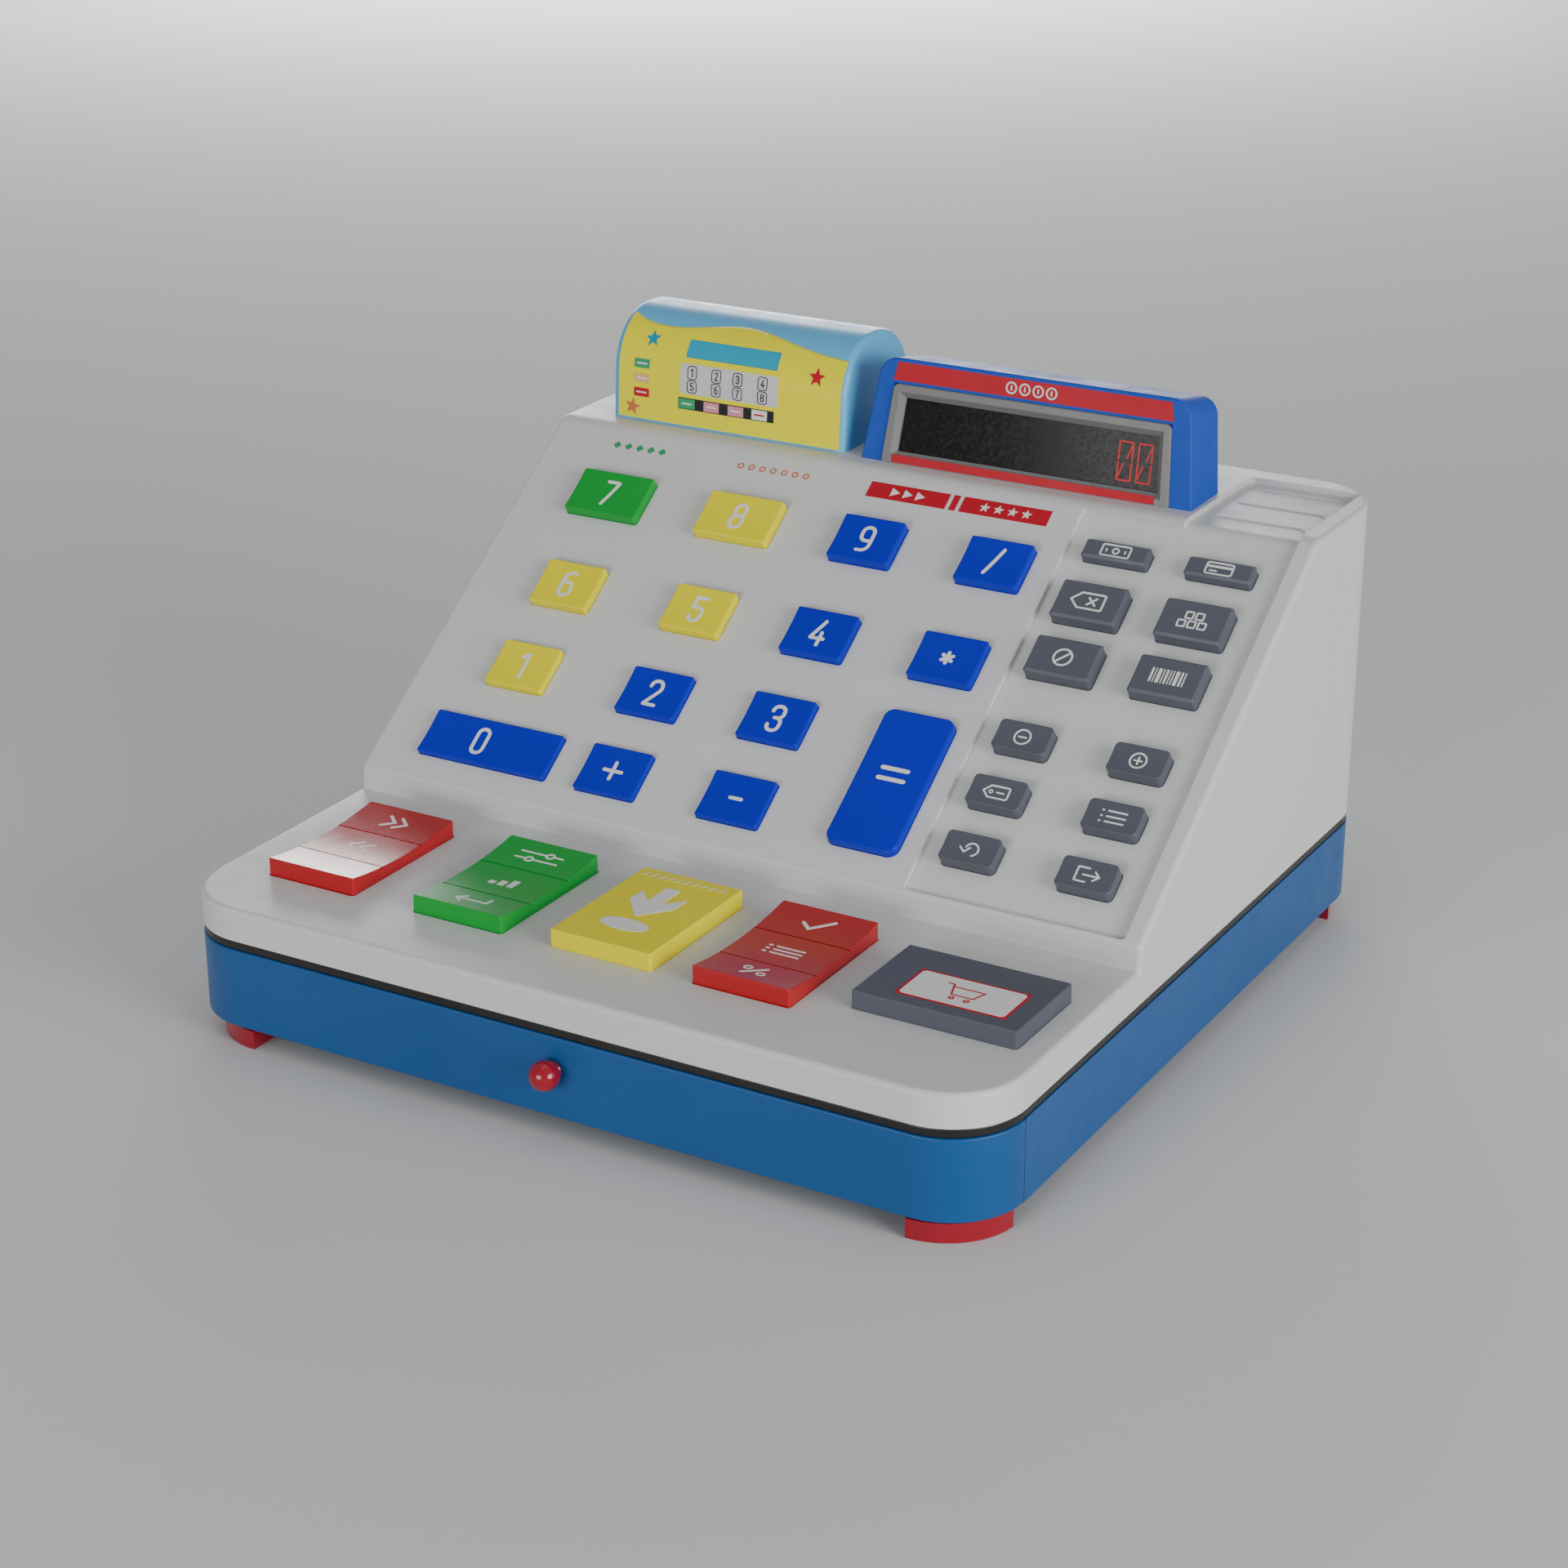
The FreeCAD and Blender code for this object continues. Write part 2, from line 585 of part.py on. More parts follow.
COVER_HALF = (33.0, 31.5)    # battery cover, half its width and height
COVER_SCREW_Y = DEPTH - 2.2  # underside of its screw's head
COVER_CUP = 1.2              # floor of the cup the head sits in


def battery_door_hole():
    """Opening for the battery cover: a step the cover sits in, the way through and the hook's slot."""
    w, h = COVER_HALF
    seat = box(BATTERY_X - w - 0.3, BATTERY_X + w + 0.3, DEPTH - 1.6, DEPTH + 1,
               BATTERY_Z - h - 0.3, BATTERY_Z + h + 0.3)
    reach = CELL_LENGTH / 2 + 4
    way = box(BATTERY_X - reach, BATTERY_X + reach, DEPTH - 6, DEPTH + 1,
              cell_zs()[0] - CELL_R - 0.5, cell_zs()[2] + CELL_R + 0.5)
    low = BATTERY_Z - h + 0.5
    slot = box(BATTERY_X - 5.3, BATTERY_X + 5.3, DEPTH - 6, DEPTH - 1, low, low + 2.0)
    return [seat, way, slot]


def battery_boss():
    """Boss inside the back wall for the battery cover's screw."""
    z = battery_screw_z()
    return box(BATTERY_X - 6, BATTERY_X + 6, DEPTH - 12, DEPTH - 1.6, z - 4.0, z + 4.6)


def battery_pilot():
    """Hole for the cover's screw, widened at its mouth for the cup behind the cover."""
    spot = V(BATTERY_X, DEPTH - 11, battery_screw_z())
    mouth = V(BATTERY_X, COVER_SCREW_Y - COVER_CUP - 0.2, battery_screw_z())
    return joined(Part.makeCylinder(PILOT_R, 12, spot, V(0, 1, 0)),
                  Part.makeCylinder(SCREW_HEAD_R + 1.9, 6, mouth, V(0, 1, 0)))


def speaker_ring():
    """Collar on the back wall that holds the loudspeaker."""
    face = DEPTH - WALL
    outer = Part.makeCylinder(SPEAKER_R + 1.8, 5.5, V(SPEAKER_X, face + 0.5, SPEAKER_Z), V(0, -1, 0))
    inner = Part.makeCylinder(SPEAKER_R + 0.1, 5.5, V(SPEAKER_X, face, SPEAKER_Z), V(0, -1, 0))
    return less(outer, inner)


def unit_screw_spots():
    """Where the two units on top are screwed down from inside the housing."""
    display_y = DISPLAY_Y + 15
    terminal_y = TERMINAL_Y + TERMINAL_DEEP / 2
    return [(DISPLAY_X - 40, display_y), (DISPLAY_X + 40, display_y),
            (TERMINAL_X[0] + 12, terminal_y), (TERMINAL_X[1] - 12, terminal_y)]


def unit_boss(x, y, top):
    """Tube inside a unit that one of those screws bites into."""
    return less(post(x, y, TOP_Z, top, 3.0), post(x, y, TOP_Z - 1, TOP_Z + 7, PILOT_R))


def wire_slots():
    """Slots in the top through which the two units are wired."""
    slots = [box(DISPLAY_X - 12, DISPLAY_X + 12, DISPLAY_Y + 12, DISPLAY_Y + 18, TOP_Z - 8, TOP_Z + 1),
             box(-90, -66, TERMINAL_Y + 20, TERMINAL_Y + 26, TOP_Z - 8, TOP_Z + 1)]
    return slots + [post(x, y, TOP_Z - 8, TOP_Z + 1, SCREW_R + 0.2) for x, y in unit_screw_spots()]


def main_housing():
    blank = housing_blank()
    hollow = side_block(housing_side(WALL, HOUSING_Z - 1), -HALF, HALF)
    shell = less(blank, hollow.common(plan_block(WALL, HOUSING_Z - 1, TOP_Z)))
    pads = [on_slope(panel_pad()).common(plan_block(1.0, HOUSING_Z, TOP_Z - 1)),
            tray_pad().common(plan_block(1.0, HOUSING_Z, TOP_Z))]
    extra = pads + rocker_lugs() + board_bosses() + case_bosses() + plate_bosses()
    extra += [battery_boss(), speaker_ring()]
    shell = joined(shell, *extra)
    cutters = [on_slope(panel_recess()), top_tray()] + slope_holes() + deck_holes() + case_pilots()
    cutters += plate_pilots() + speaker_grille() + battery_door_hole() + [battery_pilot()] + wire_slots()
    shell = less(shell, *cutters)
    return joined(shell, *tray_ridges())


def floor_plate():
    """Plate that closes the housing above the drawer."""
    plate = plan_block(WALL + 0.3, HOUSING_Z, HOUSING_Z + FLOOR_PLATE)
    cuts = [post(side * POST_X, y, 0, 60, 4.5) for side in (-1, 1) for y in POST_YS]
    for y in POST_YS:
        cuts.append(box(-HALF, -POST_X, y - 1.5, y + 1.5, 0, 60))
        cuts.append(box(POST_X, HALF, y - 1.5, y + 1.5, 0, 60))
    cuts += [post(x, y, 0, 60, SCREW_R + 0.2) for x, y in plate_screw_spots()]
    pegs = []
    for x, y in main_board_pegs():
        pegs.append(post(x, y, HOUSING_Z + 1, MAIN_BOARD_Z, 2.5))
        pegs.append(post(x, y, HOUSING_Z + 1, MAIN_BOARD_Z + BOARD_THICK + 1.5, 1.4))
    return joined(less(plate, *cuts), *pegs)


# ---- keys -----------------------------------------------------------------------------------
BOARD_TOP = PLUNGER_H - DOME_CLEAR - 0.9 - SHEET_THICK


def key_row(name, x, v, width, depth, rise, corner, dish, edge, floor):
    return {"name": "key_" + name, "x": x, "v": v, "width": width, "depth": depth, "rise": rise,
            "corner": corner, "dish": dish, "edge": edge, "floor": floor}


def slope_keys():
    """Every key of the sloping panel, with its place, its shape and the height of the floor it stands on."""
    keys = []

    def number(name, column, row, width=PAD_CAP[0]):
        right = PAD_COLUMNS[column] + PAD_CAP[0] / 2
        keys.append(key_row(name, right - width / 2, PAD_ROWS[row], width, PAD_CAP[1], PAD_RISES[row],
                            0.8, 0.45, 0.6, 0.0))

    for column, name in enumerate(("7", "8", "9", "divide")):
        number(name, column, 0, WIDE_CAP if column < 2 else PAD_CAP[0])
    for column, name in enumerate(("6", "5", "4", "multiply")):
        number(name, column, 1)
    for column, name in enumerate(("1", "2", "3")):
        number(name, column, 2)
    number("plus", 1, 3)
    number("minus", 2, 3)
    keys.append(key_row("0", -72.6 - ZERO_CAP / 2, PAD_ROWS[3], ZERO_CAP, PAD_CAP[1] - 0.6, PAD_RISES[3],
                        0.8, 0.45, 0.6, 0.0))
    keys.append(key_row("equals", EQUALS_SPOT[0], EQUALS_SPOT[1], EQUALS_CAP[0], EQUALS_CAP[1], 2.8,
                        3.4, 0.4, 0.8, 0.0))
    for v, width, depth, rise, names, columns in FUNCTION_ROWS:
        large = width > 20
        for name, x in zip(names, columns):
            keys.append(key_row(name, x, v, width, depth, rise, 1.0 if large else 1.7,
                                0.25 if large else 0.6, 0.8 if large else 0.5, -PANEL_DEEP))
    return keys


def dished_block(width, depth, corner, low, high, dish):
    """Rounded block whose top is hollowed along its depth."""
    blank = rounded_block(0, 0, width, depth, corner, low, high)
    reach = depth / 2
    radius = (reach * reach + dish * dish) / (2 * dish)
    scoop = Part.makeCylinder(radius, width + 4, V(-width / 2 - 2, 0, high - dish + radius), V(1, 0, 0))
    return less(blank, scoop)


BEVELLED = ("key_cash", "key_credit", "key_clear", "key_quantity", "key_void", "key_scan")


def slope_key(k):
    """Hollow cap with a retaining flange and a plunger, in its own frame, then laid on the slope."""
    floor = k["floor"]
    high = floor + k["rise"]
    under = floor - WALL - FLANGE_GAP - FLANGE_THICK
    cap = dished_block(k["width"], k["depth"], k["corner"], under, high, k["dish"])
    rim = edges_where(cap, lambda m, e: m.z > high - k["dish"] - 0.05 and not is_upright(e))
    cap = cap.makeChamfer(k["edge"], rim) if k["name"] in BEVELLED else cap.makeFillet(k["edge"], rim)
    skin = 1.4
    inner = rounded_block(0, 0, k["width"] - 2 * skin, k["depth"] - 2 * skin, 0.5,
                          under - 1, high - k["dish"] - skin)
    flange = less(rounded_block(0, 0, k["width"] + 2 * FLANGE_OUT, k["depth"] + 2 * FLANGE_OUT, 1.0,
                                under, under + FLANGE_THICK), inner)
    spots = plunger_spots(k["width"], k["depth"])
    plungers = [post(x, y, PLUNGER_H, high - k["dish"] - 0.5, PLUNGER_R) for x, y in spots]
    key = joined(less(cap, inner), flange, *plungers)
    key.translate(V(k["x"], k["v"], 0))
    return on_slope(key)


def is_upright(edge):
    return abs(edge.tangentAt(edge.FirstParameter).z) > 0.999


def plunger_spots(width, depth):
    """One plunger in the middle, or two on a long cap."""
    if width > 35:
        return [(-width / 4, 0), (width / 4, 0)]
    if depth > 35:
        return [(0, -depth / 4), (0, depth / 4)]
    return [(0, 0)]


def rocker(x, width):
    """Deck key that tilts on two pins: a long cap with a hollow top and two step lines."""
    half = ROCKER_DEPTH / 2
    radius = (half * half + ROCKER_DIP * ROCKER_DIP) / (2 * ROCKER_DIP)
    low, high = DECK_Z - 3.6, DECK_Z + DECK_KEY_RISE
    blank = rounded_block(0, 0, width, ROCKER_DEPTH, 0.6, low, high)
    scoop = Part.makeCylinder(radius, width + 4, V(-width / 2 - 2, 0, high - ROCKER_DIP + radius), V(1, 0, 0))
    cap = less(blank, scoop)
    rim = edges_where(cap, lambda m, e: m.z > high - ROCKER_DIP - 0.05 and not is_upright(e))
    cap = cap.makeFillet(0.35, rim)
    cuts = []
    for y in (-11.2, 8.8):
        dip = radius - math.sqrt(radius * radius - y * y)
        surface = high - ROCKER_DIP + dip
        cuts.append(box(-width, width, y - 0.3, y + 0.3, surface - 0.4, surface + 5))
    cuts.append(rounded_block(0, 0, width - 4, ROCKER_DEPTH - 4, 1.0, low - 1, high - ROCKER_DIP - 2.0))
    cap = less(cap, *cuts)
    extras = []
    axis = DECK_Z + ROCKER_AXIS
    for side in (-1, 1):
        a, b = sorted((side * (width / 2 - 2), side * width / 2))
        extras.append(box(a, b, -4, 4, axis - 1.4, low + 0.5))
        start = side * (width / 2 - 1)
        pin = Part.makeCylinder(PIN_R, 3.3, V(start, 0, axis), V(side, 0, 0))
        extras.append(pin)
    for y in (-17.5, 17.5):
        extras.append(post(0, y, DECK_Z - 4.5, DECK_Z + 2.5, PLUNGER_R))
    key = joined(cap, *extras)
    key.translate(V(x, DECK_KEY_Y, 0))
    return key


def deck_pusher(x, width, depth):
    """Flat-topped deck key that is pushed straight down."""
    high = DECK_Z + DECK_KEY_RISE
    under = DECK_Z - WALL - FLANGE_GAP - 1.0
    cap = rounded_block(0, 0, width, depth, 0.6, under, high)
    rim = edges_where(cap, lambda m, e: abs(m.z - high) < 0.01)
    cap = cap.makeFillet(0.4, rim)
    inner = rounded_block(0, 0, width - 3.6, depth - 3.6, 1.0, under - 1, high - 1.8)
    flange = rounded_block(0, 0, width + 2 * FLANGE_OUT, depth + 2 * FLANGE_OUT, 1.0, under, under + 1.0)
    flange = less(flange, inner)
    foot_z = DECK_Z + DECK_PLUNGER
    plungers = [post(px, py, foot_z, high - 1.0, PLUNGER_R) for px, py in plunger_spots(width, depth)]
    key = joined(less(cap, inner), flange, *plungers)
    key.translate(V(x, DECK_KEY_Y, 0))
    return key


# ---- what lies under the keys ---------------------------------------------------------------
def dome(x, y, base, top):
    return Part.makeCone(4.2, 2.4, top - base, V(x, y, base))


def slope_membrane():
    """Rubber sheet with a dome under each plunger."""
    top = BOARD_TOP + SHEET_THICK
    sheet = rounded_block(2.0, 74.5, 252.0, 142.0, 3.0, BOARD_TOP, top)
    domes = []
    for k in slope_keys():
        for x, y in plunger_spots(k["width"], k["depth"]):
            domes.append(dome(k["x"] + x, k["v"] + y, top - 0.2, PLUNGER_H - DOME_CLEAR))
    sheet = joined(sheet, *domes)
    holes = [post(x, v, BOARD_TOP - 1, top + 1, 3.3) for x, v in BOARD_SCREW_SPOTS]
    return on_slope(less(sheet, *holes))


def slope_board():
    board = rounded_block(2.0, 74.5, 254.0, 144.0, 2.0, BOARD_TOP - BOARD_THICK, BOARD_TOP)
    holes = [post(x, v, BOARD_TOP - 5, BOARD_TOP + 1, SCREW_R + 0.2) for x, v in BOARD_SCREW_SPOTS]
    return on_slope(less(board, *holes))


DECK_BOARD_Z = HOUSING_Z + FLOOR_PLATE
DECK_SHEET = 0.6
DECK_BOARD_THICK = 1.2


def deck_membrane():
    low = DECK_BOARD_Z + DECK_BOARD_THICK
    top = low + DECK_SHEET
    sheet = rounded_block(0, DECK_KEY_Y, 248.0, 66.0, 3.0, low, top)
    domes = []
    for name, x, width in ROCKERS:
        for y in (-17.5, 17.5):
            domes.append(dome(x, DECK_KEY_Y + y, top - 0.1, DECK_Z - 4.5 - 1.5))
    for name, x, width, depth in DECK_PUSHERS:
        for px, py in plunger_spots(width, depth):
            domes.append(dome(x + px, DECK_KEY_Y + py, top - 0.1, DECK_Z + DECK_PLUNGER - KEY_TRAVEL - 0.3))
    return joined(sheet, *domes)


def deck_board():
    return rounded_block(0, DECK_KEY_Y, 252.0, 70.0, 2.0, DECK_BOARD_Z, DECK_BOARD_Z + DECK_BOARD_THICK)


MAIN_BOARD_Z = HOUSING_Z + FLOOR_PLATE + 3.0


def main_board_pegs():
    return [(x, y) for x in (-56, 36) for y in (154, 211)]


def main_board():
    """Control board on pegs over the closing plate, with its chips and connectors."""
    top = MAIN_BOARD_Z + BOARD_THICK
    board = box(-60, 40, 150, 215, MAIN_BOARD_Z, top)
    low = top - 0.1
    chips = [box(-20, 0, 175, 195, low, top + 2.2), box(10, 22, 165, 173, low, top + 1.6),
             box(-50, -42, 160, 200, low, top + 6.5), box(24, 34, 180, 200, low, top + 8.0),
             post(-30, 168, low, top + 10, 4.0), post(-30, 205, low, top + 10, 4.0)]
    holes = [post(x, y, 0, 60, 1.45) for x, y in main_board_pegs()]
    return less(joined(board, *chips), *holes)


def speaker():
    """Small loudspeaker: frame, cone and magnet, its front against the grille."""
    face = DEPTH - WALL
    axis = V(0, -1, 0)
    frame = Part.makeCylinder(SPEAKER_R, 2.0, V(SPEAKER_X, face, SPEAKER_Z), axis)
    basket = Part.makeCone(SPEAKER_R - 1.5, 10.0, 8.0, V(SPEAKER_X, face - 2, SPEAKER_Z), axis)
    magnet = Part.makeCylinder(11.0, 5.0, V(SPEAKER_X, face - 9.9, SPEAKER_Z), axis)
    cone = Part.makeCone(SPEAKER_R - 3, 5.0, 6.0, V(SPEAKER_X, face, SPEAKER_Z), axis)
    return less(joined(frame, basket, magnet), cone)


# ---- batteries ------------------------------------------------------------------------------
def cell_zs():
    return [BATTERY_Z - 2 + i * (2 * CELL_R + 0.6) for i in (-1, 0, 1)]


CELL_Y = DEPTH - 6 - CELL_R


def battery_cells():
    """Three AA cells, every other one turned round."""
    cells = []
    for i, z in enumerate(cell_zs()):
        side = 1 if i % 2 else -1
        half, way = CELL_LENGTH / 2, V(side, 0, 0)
        can = Part.makeCylinder(CELL_R, CELL_LENGTH - 1.6, V(BATTERY_X - side * half, CELL_Y, z), way)
        nub = Part.makeCylinder(2.7, 1.7, V(BATTERY_X + side * (half - 1.7), CELL_Y, z), way)
        cells.append(joined(can, nub))
    return cells


def battery_holder():
    """Open box behind the cover, with a round trough for each cell."""
    w = CELL_LENGTH / 2 + 6
    z0, z1 = cell_zs()[0] - CELL_R - 2, cell_zs()[2] + CELL_R + 2
    block = box(BATTERY_X - w, BATTERY_X + w, DEPTH - WALL - 21, DEPTH - WALL, z0, z1)
    cuts = []
    reach, r = w - 2, CELL_R + 0.25
    for z in cell_zs():
        cuts.append(Part.makeCylinder(r, 2 * reach, V(BATTERY_X - reach, CELL_Y, z), V(1, 0, 0)))
        cuts.append(box(BATTERY_X - reach, BATTERY_X + reach, CELL_Y, DEPTH, z - r, z + r))
    return less(block, *cuts)


def battery_contacts():
    """Flat tabs at the buttons and coil springs, as closed tapers, at the cans."""
    pieces = []
    w = CELL_LENGTH / 2 + 4
    for i, z in enumerate(cell_zs()):
        side = 1 if i % 2 else -1
        a, b = sorted((BATTERY_X + side * w, BATTERY_X + side * (w - 0.5)))
        pieces.append(box(a, b, CELL_Y - 5, CELL_Y + 5, z - 5, z + 5))
        a, b = sorted((BATTERY_X - side * w, BATTERY_X - side * (w - 0.5)))
        plate = box(a, b, CELL_Y - 5, CELL_Y + 5, z - 5, z + 5)
        coil = Part.makeCone(4.5, 2.8, 3.4, V(BATTERY_X - side * (w - 0.4), CELL_Y, z), V(side, 0, 0))
        pieces.append(joined(plate, coil))
        tab = Part.makeCylinder(2.4, 3.4, V(BATTERY_X + side * (w - 0.4), CELL_Y, z), V(-side, 0, 0))
        pieces[-2] = joined(pieces[-2], tab)
    return pieces


def battery_cover():
    """Cover flush with the back wall, with a hook below, a screw above and grip ridges."""
    w, h = COVER_HALF
    face = DEPTH - 0.05
    plate = box(BATTERY_X - w, BATTERY_X + w, DEPTH - 1.5, face, BATTERY_Z - h, BATTERY_Z + h)
    corners = edges_where(plate, lambda m, e: abs(e.tangentAt(0).y) > 0.99)
    plate = plate.makeFillet(1.0, corners)
    low, left, right = BATTERY_Z - h, BATTERY_X - 5, BATTERY_X + 5
    neck = box(left, right, DEPTH - 4.0, DEPTH - 1.4, low + 0.8, low + 2.2)
    toe = box(left, right, DEPTH - 4.0, DEPTH - WALL - 0.3, low - 2, low + 2.2)
    z = battery_screw_z()
    cup = Part.makeCylinder(SCREW_HEAD_R + 1.6, 3.0, V(BATTERY_X, COVER_SCREW_Y - COVER_CUP, z), V(0, 1, 0))
    hole = Part.makeCylinder(SCREW_R + 0.2, 12, V(BATTERY_X, DEPTH - 10, z), V(0, 1, 0))
    sink = Part.makeCylinder(SCREW_HEAD_R + 0.3, 5, V(BATTERY_X, COVER_SCREW_Y, z), V(0, 1, 0))
    grooves = [box(BATTERY_X - 14, BATTERY_X + 14, DEPTH - 0.6, DEPTH + 1, low - 0.5, low + 0.5)
               for low in (BATTERY_Z - 20, BATTERY_Z - 17, BATTERY_Z - 14)]
    return less(joined(plate, neck, toe, cup), hole, sink, *grooves)


def battery_screw_z():
    return BATTERY_Z + COVER_HALF[1] - 5.0


def housing_screws():
    """All the self-tapping screws of the fixed body."""
    up = V(0, 0, 1)
    case_spots = [(x, y) for x in (-POST_X, POST_X) for y in POST_YS]
    screws = [screw(x, y, WALL + 1.5, up, DECK_Z - WALL - 6.5) for x, y in case_spots]
    screws += [screw(x, y, HOUSING_Z, up, 7.5) for x, y in plate_screw_spots()]
    for x, v in BOARD_SCREW_SPOTS:
        screws.append(on_slope(screw(x, v, BOARD_TOP - BOARD_THICK, up, BOARD_THICK + 4.2)))
    screws += [screw(x, y, TOP_Z - WALL, up, 8.0) for x, y in unit_screw_spots()]
    screws.append(screw(BATTERY_X, COVER_SCREW_Y, battery_screw_z(), V(0, -1, 0), 8.0))
    return screws


# ---- price display --------------------------------------------------------------------------
LEAN = FreeCAD.Placement(V(DISPLAY_X, DISPLAY_Y, TOP_Z),
                         FreeCAD.Rotation(V(1, 0, 0), -math.degrees(DISPLAY_LEAN)))


def face_block(points, y0, y1):
    """Outline in the leaning face's own (x, s), pushed backwards from y0 to y1."""
    wire = Part.makePolygon([V(x, y0, s) for x, s in points + points[:1]])
    return Part.Face(wire).extrude(V(0, y1 - y0, 0))


def on_face(shape):
    return shape.transformed(LEAN.toMatrix(), True)


def display_blank(inset, front):
    """Leaning block, narrower at the top; moved inwards by inset at its sides, top and back."""
    drop = 8.0
    foot, head = DISPLAY_FOOT / 2 - inset, DISPLAY_HEAD / 2 - inset
    tall = DISPLAY_TALL - inset
    flare = (foot - head) / DISPLAY_TALL * drop
    outline = [(-foot - flare, -drop), (foot + flare, -drop), (head, tall), (-head, tall)]
    block = face_block(outline, front, DISPLAY_DEEP - inset)
    corners = edges_where(block, lambda m, e: abs(m.z - tall) < 0.01 and abs(m.x) > head - 0.1)
    block = block.makeFillet(6.5 - inset, corners)
    back = edges_where(block, lambda m, e: abs(m.y - DISPLAY_DEEP + inset) < 0.01 and m.z > tall - 8 - inset)
    block = block.makeFillet(7.0 - inset, back)
    if inset == 0:
        rim = edges_where(block, lambda m, e: abs(m.y) < 0.01 and m.z > 0)
        block = block.makeFillet(0.7, rim)
    block = on_face(block)
    return block.common(box(-HALF, HALF, 0, 400, TOP_Z, TOP_Z + 100))


BEZEL_HALF = (51.9, 49.7)
BEZEL_TALL = 26.2
BEZEL_OUT = 0.7
BEZEL_IN = 1.8
DISPLAY_FRONT = 4.4      # thickness of the display case's front


def display_housing():
    """Hollow leaning case; its thick front has a step for the bezel and an opening for the window."""
    shell = less(display_blank(0, 0), display_blank(2.2, DISPLAY_FRONT))
    bosses = [unit_boss(x, y, TOP_Z + 12).cut(box(-HALF, HALF, 0, DISPLAY_Y + 5, 0, 400))
              for x, y in unit_screw_spots() if x > DISPLAY_X - DISPLAY_FOOT / 2]
    webs = [box(x - 1, x + 1, y + 2.8, DISPLAY_Y + DISPLAY_DEEP - 1, TOP_Z, TOP_Z + 10)
            for x, y in unit_screw_spots() if x > DISPLAY_X - DISPLAY_FOOT / 2]
    shell = less(shell, on_face(face_block(bezel_outline(-3, 0.05), -5, BEZEL_IN)),
                 on_face(face_block(window_outline(1.4), -5, DISPLAY_FRONT + 2)))
    return joined(shell, *bosses, *webs)


def bezel_outline(low, grow):
    """Outline of the grey frame from the given height up, grown at its sides and top."""
    foot, head = BEZEL_HALF
    bottom = foot + (head - foot) * low / BEZEL_TALL + grow
    top = head + grow
    return [(-bottom, low), (bottom, low), (top, BEZEL_TALL + grow), (-top, BEZEL_TALL + grow)]


def window_outline(grow):
    low, high = WINDOW_HALF
    return [(-low - grow, WINDOW_LOW - grow), (low + grow, WINDOW_LOW - grow),
            (high + grow, WINDOW_HIGH + grow), (-high - grow, WINDOW_HIGH + grow)]


def display_bezel():
    """Grey frame round the window; its inner edges slope in to the glass."""
    plate = face_block(bezel_outline(-1.0, 0), -BEZEL_OUT, BEZEL_IN)
    corners = edges_where(plate, lambda m, e: abs(m.z - BEZEL_TALL) < 0.01 and abs(m.x) > BEZEL_HALF[1] - 0.1)
    plate = plate.makeFillet(2.0, corners)
    front = edges_where(plate, lambda m, e: abs(m.y + BEZEL_OUT) < 0.01 and m.z > 1)
    plate = plate.makeFillet(0.4, front)
    outer = Part.makePolygon([V(x, -BEZEL_OUT - 0.01, s) for x, s in closed(window_outline(1.9))])
    inner = Part.makePolygon([V(x, 1.0, s) for x, s in closed(window_outline(0))])
    taper = Part.makeLoft([outer, inner], True, True)
    through = face_block(window_outline(0), 0.5, 5)
    frame = on_face(less(plate, taper, through))
    return frame.common(box(-HALF, HALF, 0, DEPTH, TOP_Z + 0.02, TOP_Z + 100))


def closed(points):
    return points + points[:1]


def display_window():
    """Smoked window behind the frame."""
    return on_face(face_block(window_outline(1.2), BEZEL_IN + 0.02, BEZEL_IN + 1.4))


def display_module():
    """Digit module: a dark block on its circuit board."""
    block = face_block(window_outline(0.8), BEZEL_IN + 1.6, BEZEL_IN + 5.0)
    board = face_block(window_outline(1.6), BEZEL_IN + 4.9, BEZEL_IN + 6.4)
    return on_face(joined(block, board))


# ---- terminal -------------------------------------------------------------------------------
def terminal_face(x, grow):
    """Side outline of the terminal at x, as a face: upright front, curved shoulder, flat crown, back."""
    r = TERMINAL_BEND
    lean = 1.0
    y0, y1 = TERMINAL_Y, TERMINAL_Y + TERMINAL_DEEP
    top = TOP_Z + TERMINAL_TALL
    spring = top - r
    fc = y0 + lean + r
    bc = y1 - lean - r
    g = grow
    a = math.cos(math.pi / 4)
    points = [V(x, y0 - g, TOP_Z), V(x, y0 + lean - g, spring), V(x, fc - (r + g) * a, spring + (r + g) * a),
              V(x, fc, top + g), V(x, bc, top + g), V(x, bc + (r + g) * a, spring + (r + g) * a),
              V(x, y1 - lean + g, spring), V(x, y1 + g, TOP_Z)]
    edges = [Part.LineSegment(points[0], points[1]),
             Part.Arc(points[1], points[2], points[3]),
             Part.LineSegment(points[3], points[4]),
             Part.Arc(points[4], points[5], points[6]),
             Part.LineSegment(points[6], points[7]),
             Part.LineSegment(points[7], points[0])]
    return Part.Face(Part.Wire([edge.toShape() for edge in edges]))


def terminal_block(x0, x1, grow):
    return terminal_face(x0, grow).extrude(V(x1 - x0, 0, 0))


def terminal_housing():
    x0, x1 = TERMINAL_X
    block = terminal_block(x0, x1, 0)
    ends = edges_where(block, lambda m, e: min(abs(m.x - x0), abs(m.x - x1)) < 0.01 and m.z > TOP_Z + 0.1)
    block = block.makeFillet(2.6, ends)
    shell = less(block, terminal_block(x0 + 2.4, x1 - 2.4, -2.4))
    bosses = [unit_boss(x, y, TOP_Z + TERMINAL_TALL - 1) for x, y in unit_screw_spots() if x < x1]
    return joined(shell, *bosses)


